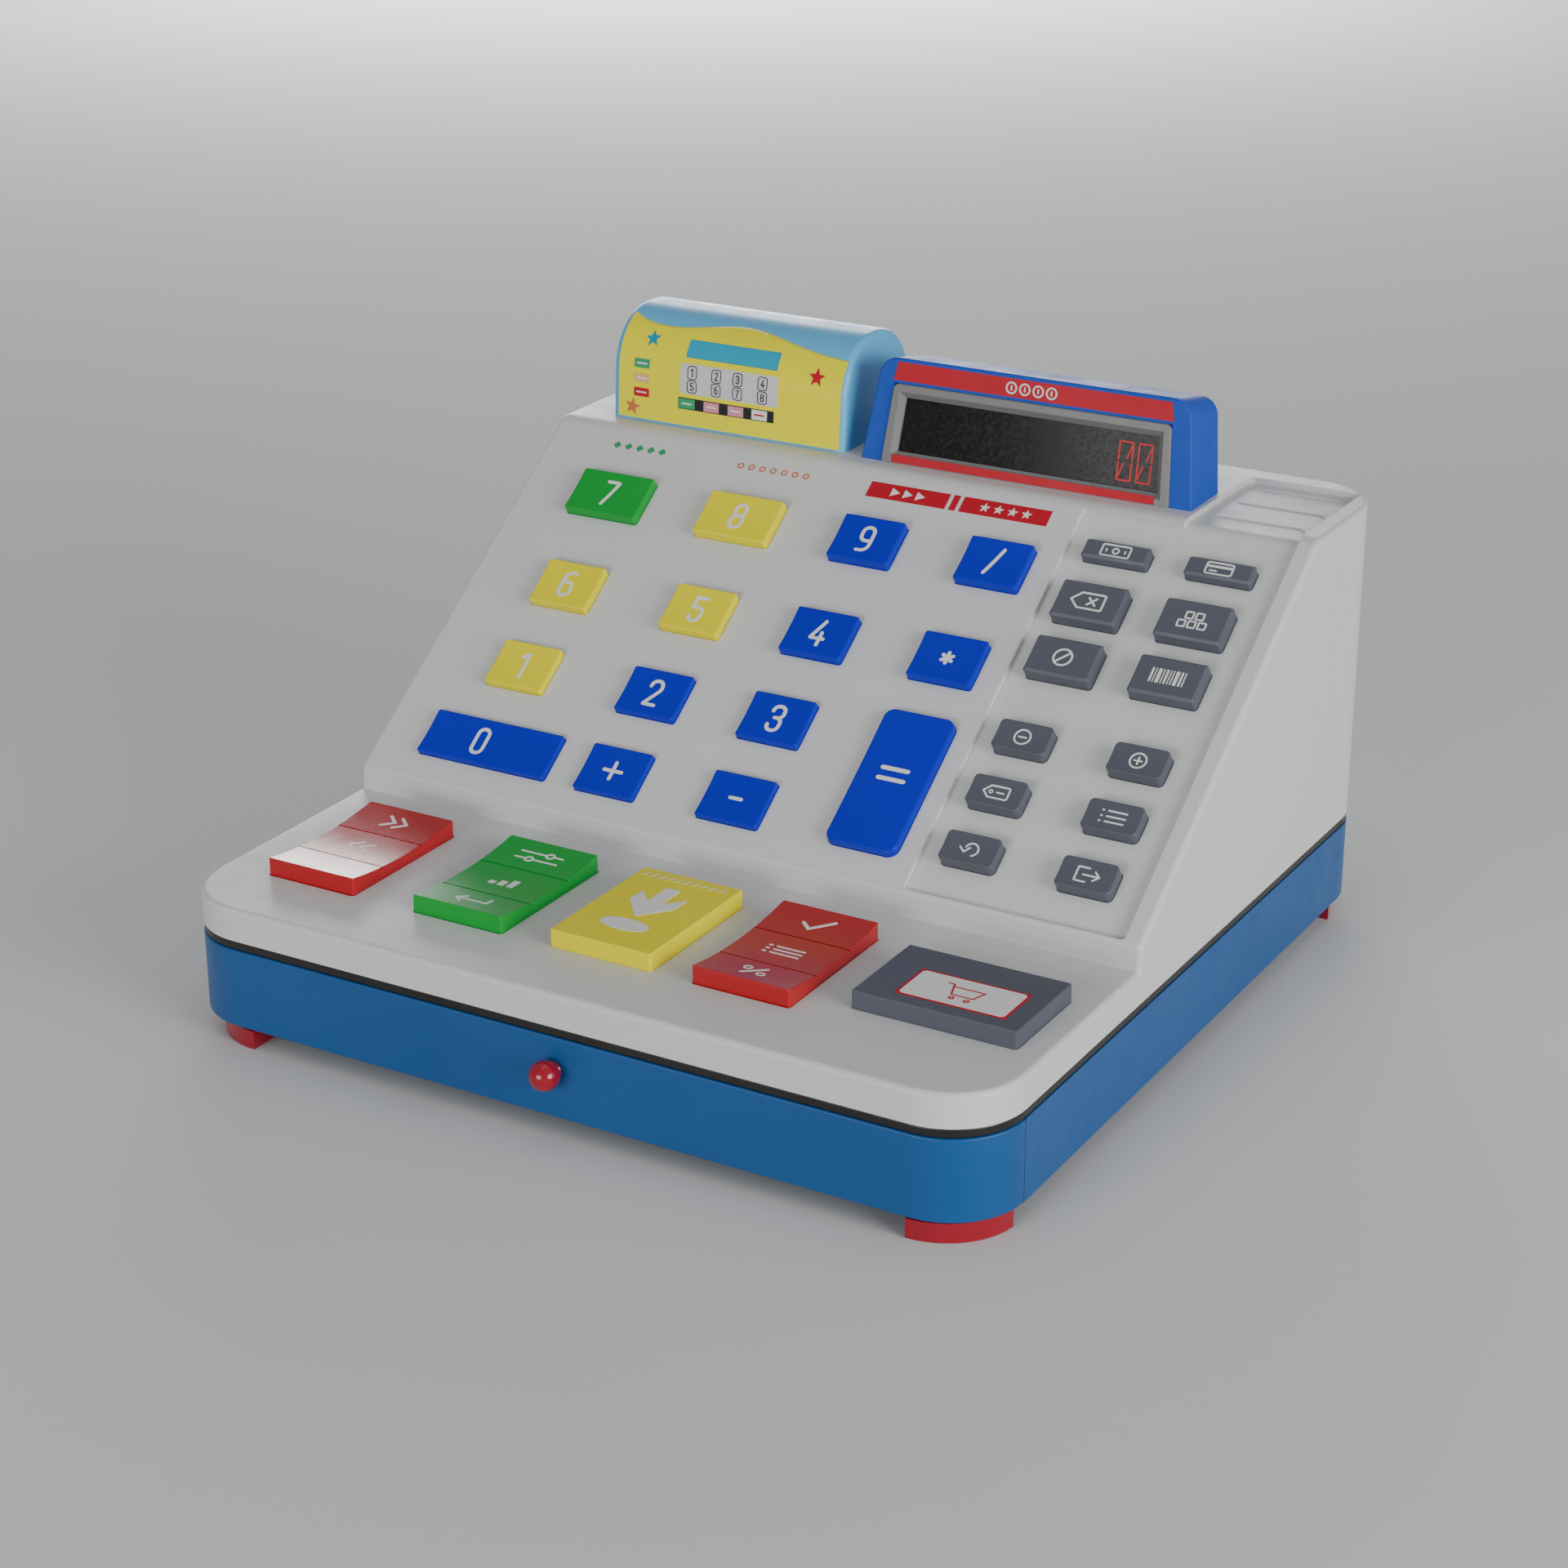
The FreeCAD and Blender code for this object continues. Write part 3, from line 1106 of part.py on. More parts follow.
# the plate's upper edge: x from its left side, z over the housing's top
PLATE_WAVE = ((0.0, 34.4), (14.5, 32.2), (44.0, 34.4), (72.0, 31.2), (87.1, 29.9))


def plate_outline(inset):
    """Front view of the faceplate as a face to be pushed backwards: straight sides, a waved top edge."""
    x0, x1 = PLATE_X
    low = TOP_Z + 1.0 + inset
    crest = [V(x0 + x, 0, TOP_Z + z - inset) for x, z in PLATE_WAVE]
    crest[0].x += inset
    crest[-1].x -= inset
    wave = Part.BSplineCurve()
    wave.interpolate(crest)
    corner_a, corner_b = V(x0 + inset, 0, low), V(x1 - inset, 0, low)
    edges = [Part.LineSegment(corner_a, corner_b).toShape(), Part.LineSegment(corner_b, crest[-1]).toShape(),
             wave.toShape(), Part.LineSegment(crest[0], corner_a).toShape()]
    return Part.Face(Part.Wire(Part.sortEdges(edges)[0]))


def terminal_faceplate():
    """Thin plate bent round the terminal's front."""
    skin = less(terminal_block(PLATE_X[0] - 1, PLATE_X[1] + 1, PLATE_THICK),
                terminal_block(PLATE_X[0] - 2, PLATE_X[1] + 2, 0.01))
    cutter = plate_outline(0).extrude(V(0, TERMINAL_Y + TERMINAL_BEND, 0))
    return less(skin.common(cutter), screen_pocket(0.05))


def screen_pocket(grow):
    """Space for the small screen in the plate."""
    (x0, x1), (z0, z1) = SCREEN_X, SCREEN_Z
    return box(x0 - grow, x1 + grow, TERMINAL_Y - 4, TERMINAL_Y + 9, z0 - grow, z1 + grow)


SCREEN_X = (-95.2, -59.2)
SCREEN_Z = (TOP_Z + 24.3, TOP_Z + 29.7)


def terminal_screen():
    """Small screen let into the plate, following its curve."""
    skin = less(terminal_block(PLATE_X[0], PLATE_X[1], PLATE_THICK - 0.2),
                terminal_block(PLATE_X[0] - 1, PLATE_X[1] + 1, 0.01))
    return skin.common(screen_pocket(-0.03))


# ---- write every node -----------------------------------------------------------------------
def main():
    os.makedirs("parts", exist_ok=True)
    emit("base_tray", base_tray())
    emit("feet", *[foot(x, y) for x, y in foot_centres()])
    emit("drawer_runners", drawer_runner(-1), drawer_runner(1))
    emit("seam_gasket", seam_gasket())
    emit("main_housing", main_housing())
    emit("floor_plate", floor_plate())
    emit("housing_screws", *housing_screws())
    emit("drawer_front", drawer_front())
    emit("cash_drawer", cash_drawer())
    emit("drawer_knob", drawer_knob())
    emit("drawer_screws", *drawer_screws())
    for k in slope_keys():
        emit(k["name"], slope_key(k))
    for name, x, width in ROCKERS:
        emit("key_" + name, rocker(x, width))
    for name, x, width, depth in DECK_PUSHERS:
        emit("key_" + name, deck_pusher(x, width, depth))
    emit("keypad_membrane", slope_membrane())
    emit("keypad_board", slope_board())
    emit("deck_membrane", deck_membrane())
    emit("deck_board", deck_board())
    emit("main_board", main_board())
    emit("speaker", speaker())
    emit("battery_holder", battery_holder())
    emit("battery_cells", *battery_cells())
    emit("battery_contacts", *battery_contacts())
    emit("battery_cover", battery_cover())
    emit("display_housing", display_housing())
    emit("display_bezel", display_bezel())
    emit("display_window", display_window())
    emit("display_module", display_module())
    emit("terminal_housing", terminal_housing())
    emit("terminal_faceplate", terminal_faceplate())
    emit("terminal_screen", terminal_screen())


main()
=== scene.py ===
import math

import bmesh
import bpy
from mathutils import Matrix, Vector


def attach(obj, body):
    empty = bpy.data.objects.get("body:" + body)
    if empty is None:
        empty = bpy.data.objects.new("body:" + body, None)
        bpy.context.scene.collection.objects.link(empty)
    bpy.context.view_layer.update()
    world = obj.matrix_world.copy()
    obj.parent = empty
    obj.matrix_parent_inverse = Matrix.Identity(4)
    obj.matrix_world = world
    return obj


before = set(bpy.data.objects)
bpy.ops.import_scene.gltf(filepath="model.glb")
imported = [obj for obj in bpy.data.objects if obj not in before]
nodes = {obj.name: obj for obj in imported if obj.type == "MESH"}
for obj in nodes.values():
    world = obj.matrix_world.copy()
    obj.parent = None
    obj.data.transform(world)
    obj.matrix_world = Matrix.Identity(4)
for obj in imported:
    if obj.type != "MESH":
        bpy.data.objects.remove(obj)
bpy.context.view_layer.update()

# The looks of a toy cash register. Lengths are in millimetres until at() turns a point into the
# frame's metres: x from the middle of the body, y from its front face, z from the underside of the
# blue base.

DEPTH = 280.0
KNOB_OUT = 9.0
FOOT_RISE = 6.3
DECK_Z = 40.0
STEP_Y = 97.0
STEP_Z = 47.7
TOP_Y = 219.8
TOP_Z = 135.8
SLOPE_ANGLE = math.atan2(TOP_Z - STEP_Z, TOP_Y - STEP_Y)
PANEL_DEEP = 2.0
INK = 0.10               # how far printed ink stands out
UNDERCOAT = 0.08         # thickness of a field of ink that other ink is printed on


def at(x, y, z):
    """A point of the working frame, in the frame's metres."""
    return Vector((x, y - (DEPTH - KNOB_OUT) / 2, z + FOOT_RISE)) * 0.001


def on_slope(x, v, h):
    """v up the sloping panel from the top of the step, h out of it."""
    c, s = math.cos(SLOPE_ANGLE), math.sin(SLOPE_ANGLE)
    return at(x, STEP_Y + v * c - h * s, STEP_Z + v * s + h * c)


# ---- materials ------------------------------------------------------------------------------
def add(tree, kind, **values):
    node = tree.nodes.new(kind)
    for key, value in values.items():
        setattr(node, key, value)
    return node


def noise(tree, place, scale, detail, rough=0.55):
    node = add(tree, "ShaderNodeTexNoise")
    node.inputs["Scale"].default_value = scale
    node.inputs["Detail"].default_value = detail
    node.inputs["Roughness"].default_value = rough
    tree.links.new(place, node.inputs["Vector"])
    return node.outputs["Fac"]


def feed(tree, socket, value):
    """Give a socket a number, a colour or another node's output."""
    if isinstance(value, (int, float)):
        socket.default_value = value
    elif isinstance(value, (list, tuple)):
        socket.default_value = (*value[:3], 1)
    else:
        tree.links.new(value, socket)


def ramp(tree, value, low, high, start, end):
    node = add(tree, "ShaderNodeMapRange")
    node.inputs["From Min"].default_value = low
    node.inputs["From Max"].default_value = high
    node.inputs["To Min"].default_value = start
    node.inputs["To Max"].default_value = end
    tree.links.new(value, node.inputs["Value"])
    return node.outputs["Result"]


def mix_colour(tree, share, a, b):
    """Colour a blended into colour b; the numbered sockets are the mix node's colour ones."""
    node = add(tree, "ShaderNodeMix", data_type="RGBA")
    feed(tree, node.inputs[0], share)
    feed(tree, node.inputs[6], a)
    feed(tree, node.inputs[7], b)
    return node.outputs[2]


def multiply(tree, a, b):
    node = add(tree, "ShaderNodeMath", operation="MULTIPLY")
    feed(tree, node.inputs[0], a)
    feed(tree, node.inputs[1], b)
    return node.outputs[0]


def moulded(name, colour, rough=0.35, coat=0.0, grain=0.06, mottle=0.05, texture=900.0, metal=0.0,
            shine=0.4):
    """Moulded plastic: faint flow mottling, fine grain in the surface and uneven handling gloss.
    colour is linear, grain is the bump's height, texture its fineness and shine its mirror strength."""
    material = bpy.data.materials.new(name)
    material.use_nodes = True
    tree = material.node_tree
    shader = tree.nodes["Principled BSDF"]
    place = add(tree, "ShaderNodeTexCoord").outputs["Object"]
    flow = noise(tree, place, 14.0, 4.0)
    speck = noise(tree, place, 1500.0, 2.0)
    dark = [c * (1 - mottle) for c in colour]
    light = [min(c * (1 + mottle) + mottle * 0.01, 1.0) for c in colour]
    base = mix_colour(tree, ramp(tree, flow, 0.3, 0.7, 0.0, 1.0), dark, light)
    base = mix_colour(tree, ramp(tree, speck, 0.62, 0.75, 0.0, 0.05), base, [c * 0.8 for c in colour])
    tree.links.new(base, shader.inputs["Base Color"])
    smudge = noise(tree, place, 38.0, 5.0, 0.65)
    streak = noise(tree, place, 150.0, 3.0)
    gloss = ramp(tree, smudge, 0.3, 0.75, rough * 0.82, rough * 1.22)
    gloss = multiply(tree, gloss, ramp(tree, streak, 0.3, 0.7, 0.94, 1.06))
    tree.links.new(gloss, shader.inputs["Roughness"])
    fine = noise(tree, place, texture, 3.0)
    bump = add(tree, "ShaderNodeBump")
    bump.inputs["Strength"].default_value = grain
    bump.inputs["Distance"].default_value = 0.0006
    tree.links.new(fine, bump.inputs["Height"])
    tree.links.new(bump.outputs["Normal"], shader.inputs["Normal"])
    shader.inputs["Metallic"].default_value = metal
    shader.inputs["Coat Weight"].default_value = coat
    shader.inputs["Coat Roughness"].default_value = 0.12
    shader.inputs["IOR"].default_value = 1.5
    shader.inputs["Specular IOR Level"].default_value = shine
    return material


def ink(name, colour, rough=0.45):
    """Pad-printed ink: slightly uneven cover, softer gloss than the plastic."""
    return moulded(name, colour, rough=rough, grain=0.10, mottle=0.04, texture=1600.0, shine=0.22)


def lit_segment(name, colour, glow):
    """A lit display segment: its glow a little dimmer in random patches."""
    material = moulded(name, colour, rough=0.5, grain=0.05)
    tree = material.node_tree
    shader = tree.nodes["Principled BSDF"]
    place = add(tree, "ShaderNodeTexCoord").outputs["Object"]
    patch = noise(tree, place, 500.0, 2.0)
    level = ramp(tree, patch, 0.3, 0.7, 0.0, 1.0)
    darker = [part * 0.8 for part in colour]
    tree.links.new(mix_colour(tree, level, darker, colour), shader.inputs["Emission Color"])
    shader.inputs["Emission Strength"].default_value = glow
    return material


def smoked(name):
    """Dark window: near-black acrylic with a faint warm depth and light dust."""
    material = moulded(name, [0.010, 0.009, 0.010], rough=0.12, grain=0.01, mottle=0.25, texture=300.0,
                       shine=0.15)
    tree = material.node_tree
    shader = tree.nodes["Principled BSDF"]
    place = add(tree, "ShaderNodeTexCoord").outputs["Object"]
    dust = noise(tree, place, 700.0, 4.0, 0.7)
    gloss = ramp(tree, dust, 0.45, 0.8, 0.10, 0.32)
    tree.links.new(gloss, shader.inputs["Roughness"])
    return material


def circuit(name):
    """Green solder mask with darker tracks."""
    material = moulded(name, [0.012, 0.12, 0.045], rough=0.38, grain=0.05)
    tree = material.node_tree
    shader = tree.nodes["Principled BSDF"]
    place = add(tree, "ShaderNodeTexCoord").outputs["Object"]
    tracks = add(tree, "ShaderNodeTexBrick")
    tracks.inputs["Scale"].default_value = 120.0
    tracks.inputs["Color1"].default_value = (0.010, 0.10, 0.040, 1)
    tracks.inputs["Color2"].default_value = (0.014, 0.14, 0.055, 1)
    tracks.inputs["Mortar"].default_value = (0.03, 0.24, 0.09, 1)
    tree.links.new(place, tracks.inputs["Vector"])
    tree.links.new(tracks.outputs["Color"], shader.inputs["Base Color"])
    return material


MATERIALS = {
    "white": moulded("white_shell", [0.60, 0.60, 0.595], rough=0.42, grain=0.05, mottle=0.014),
    "base_blue": moulded("base_blue", [0.006, 0.076, 0.245], rough=0.38, grain=0.05, shine=0.35),
    "red": moulded("toy_red", [0.30, 0.004, 0.016], rough=0.16, coat=0.35, grain=0.02),
    "gasket": moulded("gasket", [0.014, 0.012, 0.011], rough=0.30, grain=0.04, mottle=0.2),
    "key_blue": moulded("key_blue", [0.0, 0.011, 0.47], rough=0.38, grain=0.04, shine=0.22),
    "key_yellow": moulded("key_yellow", [0.80, 0.70, 0.0], rough=0.36, grain=0.04, shine=0.3),
    "key_green": moulded("key_green", [0.0, 0.32, 0.034], rough=0.32, grain=0.04, shine=0.3),
    "key_red": moulded("key_red", [0.42, 0.005, 0.010], rough=0.26, grain=0.03, shine=0.5),
    "key_slate": moulded("key_slate", [0.080, 0.088, 0.113], rough=0.42, grain=0.05, shine=0.35),
    "royal": moulded("display_blue", [0.014, 0.070, 0.43], rough=0.55, grain=0.04, shine=0.15),
    "bezel": moulded("bezel_grey", [0.165, 0.165, 0.165], rough=0.35, grain=0.05),
    "sky": moulded("terminal_blue", [0.10, 0.44, 0.74], rough=0.40, grain=0.03, shine=0.5),
    "plate_yellow": moulded("plate_yellow", [0.80, 0.73, 0.0], rough=0.36, grain=0.03, shine=0.3),
    "cyan": moulded("screen_cyan", [0.0, 0.34, 0.52], rough=0.25, coat=0.3, grain=0.02),
    "window": smoked("smoked_window"),
    "nylon": moulded("inner_grey", [0.33, 0.33, 0.32], rough=0.5, grain=0.09),
    "black": moulded("inner_black", [0.02, 0.02, 0.021], rough=0.5, grain=0.08, mottle=0.2),
    "rubber": moulded("rubber_grey", [0.28, 0.28, 0.27], rough=0.65, grain=0.12),
    "steel": moulded("zinc", [0.62, 0.62, 0.64], rough=0.3, grain=0.04, metal=1.0),
    "can": moulded("cell_sleeve", [0.10, 0.11, 0.13], rough=0.3, grain=0.03, metal=0.6),
    "board": circuit("solder_mask"),
    "ink_white": ink("ink_white", [0.72, 0.72, 0.70]),
    "ink_cream": ink("ink_cream", [0.68, 0.62, 0.30]),
    "ink_red": ink("ink_red", [0.46, 0.006, 0.020]),
    "ink_green": ink("ink_green", [0.03, 0.30, 0.12]),
    "ink_orange": ink("ink_orange", [0.55, 0.16, 0.05]),
    "ink_cyan": ink("ink_cyan", [0.0, 0.28, 0.36]),
    "ink_grey": ink("ink_grey", [0.58, 0.57, 0.60]),
    "ink_black": ink("ink_black", [0.015, 0.016, 0.018]),
    "ink_pink": ink("ink_pink", [0.62, 0.24, 0.33]),
    "ink_peach": ink("ink_peach", [0.70, 0.44, 0.18]),
    "segment": lit_segment("lit_red", [0.50, 0.012, 0.014], 0.22),
}

NODE_MATERIALS = {
    "base_tray": "base_blue", "drawer_front": "base_blue", "cash_drawer": "base_blue", "feet": "red",
    "drawer_runners": "nylon", "seam_gasket": "gasket", "main_housing": "white", "floor_plate": "nylon",
    "housing_screws": "steel", "drawer_screws": "steel", "drawer_knob": "red", "keypad_membrane": "rubber",
    "deck_membrane": "rubber", "keypad_board": "board", "deck_board": "board", "main_board": "board",
    "speaker": "black", "battery_holder": "black", "battery_cells": "can", "battery_contacts": "steel",
    "battery_cover": "white", "display_housing": "royal", "display_bezel": "bezel",
    "display_window": "window", "display_module": "black", "terminal_housing": "sky",
    "terminal_faceplate": "plate_yellow", "terminal_screen": "cyan", "key_7": "key_green",
    "key_8": "key_yellow", "key_6": "key_yellow", "key_5": "key_yellow", "key_1": "key_yellow",
    "key_rocker_red_left": "key_red", "key_rocker_red_right": "key_red", "key_rocker_green": "key_green",
    "key_receipt": "key_yellow", "key_checkout": "key_slate",
}


# ---- printed marks --------------------------------------------------------------------------
def rounded(points, closed=False):
    """Points (x, y) or (x, y, radius) to a fine line whose corners are rounded by that radius."""
    line = []
    count = len(points)
    for i, point in enumerate(points):
        p = Vector(point[:2])
        radius = point[2] if len(point) > 2 else 0
        if radius == 0 or (not closed and i in (0, count - 1)):
            line.append(p)
            continue
        a = (Vector(points[i - 1][:2]) - p).normalized()
        b = (Vector(points[(i + 1) % count][:2]) - p).normalized()
        half = a.angle(b) / 2
        centre = p + (a + b).normalized() * (radius / math.sin(half))
        start = p + a * (radius / math.tan(half)) - centre
        turn = (math.pi - 2 * half) * (1 if a.x * b.y - a.y * b.x < 0 else -1)
        steps = 6
        for k in range(steps + 1):
            line.append(centre + start @ Matrix.Rotation(-turn * k / steps, 2))
    return line


def arc(cx, cy, radius, start, end, steps=20):
    """Points of an arc, its angles in degrees."""
    points = []
    for k in range(steps + 1):
        a = math.radians(start + (end - start) * k / steps)
        points.append(Vector((cx + radius * math.cos(a), cy + radius * math.sin(a))))
    return points


def ring(cx, cy, radius, steps=28):
    return arc(cx, cy, radius, 0, 360, steps)[:-1]


def fine(line, step, closed):
    """The same line with no piece longer than step."""
    result = []
    last = len(line) if closed else len(line) - 1
    for i in range(last):
        a, b = line[i], line[(i + 1) % len(line)]
        pieces = max(1, math.ceil((b - a).length / step))
        result += [a.lerp(b, k / pieces) for k in range(pieces)]
    if not closed:
        result.append(line[-1])
    return [p for i, p in enumerate(result) if i == 0 or (p - result[i - 1]).length > 1e-4]


def box_outline(x0, x1, y0, y1):
    return [(x0, y0), (x1, y0), (x1, y1), (x0, y1)]


def round_rect(x0, x1, y0, y1, radius):
    return rounded([(x0, y0, radius), (x1, y0, radius), (x1, y1, radius), (x0, y1, radius)], True)


class Print:
    """Collects flat marks in (u, v), each a little thick, then lays them on a surface."""

    def __init__(self):
        self.verts = []
        self.faces = []
        self.count = 0

    def lift(self):
        """A slightly different height for each mark, so that no two tops lie in one plane."""
        self.count += 1
        return INK + 0.004 * (self.count % 9)

    def stroke(self, line, width, closed=False, step=1.5):
        """A line of ink with a gently rounded top and round ends."""
        line = fine([Vector(p[:2]) for p in line], step, closed)
        high = self.lift()
        half = width / 2
        rows = []
        count = len(line)
        for i, p in enumerate(line):
            before = line[i - 1] if closed or i > 0 else None
            after = line[(i + 1) % count] if closed or i < count - 1 else None
            into = (p - before).normalized() if before is not None else (after - p).normalized()
            out = (after - p).normalized() if after is not None else into
            along = (into + out).normalized()
            side = Vector((-along.y, along.x))
            stretch = min(1 / max(side.dot(Vector((-into.y, into.x))), 0.4), 1.6)
            rows.append((p, side * stretch, half, high))
            if not closed and i in (0, count - 1):
                ends = []
                direction = -along if i == 0 else along
                for k in (1, 2, 3):
                    a = math.radians(28 * k)
                    ends.append((p + direction * half * math.sin(a), side, half * math.cos(a), high))
                if i == 0:
                    rows = ends[::-1] + rows
                else:
                    rows += ends
        start = len(self.verts)
        profile = ((-1.0, -0.25), (-0.86, 0.8), (0.0, 1.0), (0.86, 0.8), (1.0, -0.25))
        for p, side, reach, top in rows:
            for across, up in profile:
                spot = p + side * reach * across
                self.verts.append((spot.x, spot.y, top * up))
        size = len(profile)
        total = len(rows)
        for i in range(total if closed else total - 1):
            a, b = start + i * size, start + (i + 1) % total * size
            for k in range(size - 1):
                self.faces.append((a + k, b + k, b + k + 1, a + k + 1))
            self.faces.append((a + size - 1, b + size - 1, b, a))
        if not closed:
            self.faces.append(tuple(start + k for k in range(size)))
            self.faces.append(tuple(start + (total - 1) * size + k for k in reversed(range(size))))

    def patch(self, outline, step=0.0, high=None):
        """A filled shape. step slices it across v so that it can follow a curved surface."""
        high = high if high is not None else self.lift()
        flat = bmesh.new()
        flat.faces.new([flat.verts.new((p[0], p[1], 0)) for p in outline])
        if step:
            low_v = min(p[1] for p in outline)
            high_v = max(p[1] for p in outline)
            cuts = int((high_v - low_v) / step)
            for k in range(1, cuts + 1):
                geometry = flat.verts[:] + flat.edges[:] + flat.faces[:]
                level = low_v + (high_v - low_v) * k / (cuts + 1)
                bmesh.ops.bisect_plane(flat, geom=geometry, plane_co=(0, level, 0), plane_no=(0, 1, 0))
        bmesh.ops.recalc_face_normals(flat, faces=flat.faces[:])
        flat.verts.index_update()
        flat.verts.ensure_lookup_table()
        start = len(self.verts)
        size = len(flat.verts)
        for level in (-high * 0.5, high):
            self.verts += [(v.co.x, v.co.y, level) for v in flat.verts]
        for face in flat.faces:
            loop = [v.index for v in face.verts]
            if face.normal.z < 0:
                loop.reverse()
            self.faces.append(tuple(start + size + i for i in loop))
            self.faces.append(tuple(start + i for i in reversed(loop)))
            for i, j in zip(loop, loop[1:] + loop[:1]):
                edge = flat.edges.get((flat.verts[i], flat.verts[j]))
                if edge is not None and len(edge.link_faces) == 1:
                    self.faces.append((start + i, start + j, start + size + j, start + size + i))
        flat.free()

    def lay(self, name, surface, material, body):
        """Make the object: surface turns (u, v, w) into a point of the frame."""
        mesh = bpy.data.meshes.new(name)
        mesh.from_pydata([surface(*v) for v in self.verts], [], self.faces)
        mesh.update()
        solid = bmesh.new()
        solid.from_mesh(mesh)
        bmesh.ops.recalc_face_normals(solid, faces=solid.faces[:])
        solid.to_mesh(mesh)
        solid.free()
        mesh.materials.append(MATERIALS[material])
        piece = bpy.data.objects.new(name, mesh)
        bpy.context.scene.collection.objects.link(piece)
        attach(piece, body)


# Numerals and signs as strokes. Their height is 9 between the middles of the end strokes.
GLYPHS = {
    "0": [([(-2, 4.5, 1.9), (2, 4.5, 1.9), (2, -4.5, 1.9), (-2, -4.5, 1.9)], True)],
    "1": [([(-1.5, 3.1), (0.5, 4.6, 0.2), (0.5, -4.5)], False)],
    "2": [([(-2, 2.4), (-2, 4.5, 1.9), (2, 4.5, 1.9), (2, 1.4, 1.6), (-2, -4.5, 0.2), (2.1, -4.5)],
           False)],
    "3": [([(-2, 2.6), (-2, 4.5, 1.8), (2, 4.5, 1.8), (2, 0.3, 1.7), (-0.6, 0.3)], False),
          ([(-0.6, 0.3), (2, 0.3, 1.8), (2, -4.5, 1.9), (-2, -4.5, 1.9), (-2, -2.5)], False)],
    "4": [([(0.9, 4.5), (-2.3, -2.0, 0.2), (2.4, -2.0)], False), ([(1.1, 0.2), (1.1, -4.5)], False)],
    "5": [([(2, 4.5), (-1.7, 4.5, 0.2), (-1.9, 0.6, 0.2), (2, 0.9, 1.9), (2, -4.5, 1.9), (-2, -4.5, 1.8),
            (-2, -2.9)], False)],
    "6": [([(1.6, 4.5), (-2, 4.5, 2.4), (-2, -4.5, 1.9), (2, -4.5, 1.9), (2, 0.9, 1.9), (-1.9, 0.9)], False)],
    "7": [([(-2.1, 4.5), (2.1, 4.5, 0.3), (-1.1, -4.5)], False)],
    "8": [([(-1.9, 4.5, 1.8), (1.9, 4.5, 1.8), (1.9, 0.3, 1.7), (-1.9, 0.3, 1.7)], True),
          ([(-2.1, 0.3, 1.8), (2.1, 0.3, 1.8), (2.1, -4.5, 1.9), (-2.1, -4.5, 1.9)], True)],
    "9": [([(-1.6, -4.5), (2, -4.5, 2.4), (2, 4.5, 1.9), (-2, 4.5, 1.9), (-2, -0.6, 1.9), (1.9, -0.6)],
           False)],
    "divide": [([(-1.7, -4.6), (1.9, 4.8)], False)],
    "plus": [([(-3.1, 0), (3.1, 0)], False), ([(0, -3.0), (0, 3.0)], False)],
    "minus": [([(-1.9, 0), (1.9, 0)], False)],
    "multiply": [([(-1.9 * math.cos(math.radians(a)), -1.9 * math.sin(math.radians(a))),
                   (1.9 * math.cos(math.radians(a)), 1.9 * math.sin(math.radians(a)))], False)
                 for a in (30, 90, 150)],
    "equals": [([(-4.3, 1.9), (4.3, 1.9)], False), ([(-4.3, -1.9), (4.3, -1.9)], False)],
}


def write(marks, glyph, x, y, scale, width):
    for points, closed in GLYPHS[glyph]:
        placed = [(x + p[0] * scale, y + p[1] * scale) + tuple(r * scale for r in p[2:]) for p in points]
        marks.stroke(rounded(placed, closed), width, closed)


# ---- number keys ----------------------------------------------------------------------------
PAD_COLUMNS = (-100.6, -49.9, -4.5, 41.7)
PAD_ROWS = (120.4, 82.2, 48.5, 17.7)
PAD_RISES = (3.5, 3.1, 2.5, 2.2)
CAP_DEPTH = 17.4
WIDE_SHIFT = 2.8         # how far the middles of the two wide caps stand to the left of their columns
ZERO_X = -97.2
EQUALS_PLACE = (42.4, 35.5)
EQUALS_DEPTH = 50.2


def dish(v, depth, dip):
    """Height of a hollowed cap over its lowest line, v from the cap's middle."""
    reach = depth / 2
    radius = (reach * reach + dip * dip) / (2 * dip)
    return radius - math.sqrt(radius * radius - v * v)


def raised(surface, height):
    """The same surface, a little higher, for ink on ink."""
    return lambda a, b, w: surface(a, b, w + height)


def cap_surface(x, v, depth, high, dip):
    """The top of a key on the slope as a surface for Print.lay."""
    return lambda a, b, w: on_slope(x + a, v + b, high - dip + dish(b, depth, dip) + w)


def number_key(name, x, v, depth, rise, dip=0.45, shift=0.0):
    marks = Print()
    write(marks, name, shift, 0, 1.02, 1.35)
    surface = cap_surface(x, v, depth, rise, dip)
    node = "key_" + name
    marks.lay("numeral_" + name, surface, "ink_white", node)


def number_keys():
    for row, names in enumerate((("7", "8", "9", "divide"), ("6", "5", "4", "multiply"), ("1", "2", "3"))):
        for column, name in enumerate(names):
            wide = name in ("7", "8")
            x = PAD_COLUMNS[column] - (WIDE_SHIFT if wide else 0)
            number_key(name, x, PAD_ROWS[row], CAP_DEPTH, PAD_RISES[row])
    number_key("plus", PAD_COLUMNS[1], PAD_ROWS[3], CAP_DEPTH, PAD_RISES[3])
    number_key("minus", PAD_COLUMNS[2], PAD_ROWS[3], CAP_DEPTH, PAD_RISES[3])
    number_key("0", ZERO_X, PAD_ROWS[3], CAP_DEPTH - 0.6, PAD_RISES[3], shift=-3.8)
    marks = Print()
    write(marks, "equals", 0, 2.0, 1.0, 1.6)
    surface = cap_surface(*EQUALS_PLACE, EQUALS_DEPTH, 2.8, 0.4)
    marks.lay("numeral_equals", surface, "ink_white", "key_equals")


# ---- pictograms -----------------------------------------------------------------------------
THIN = 0.62              # width of the finest lines


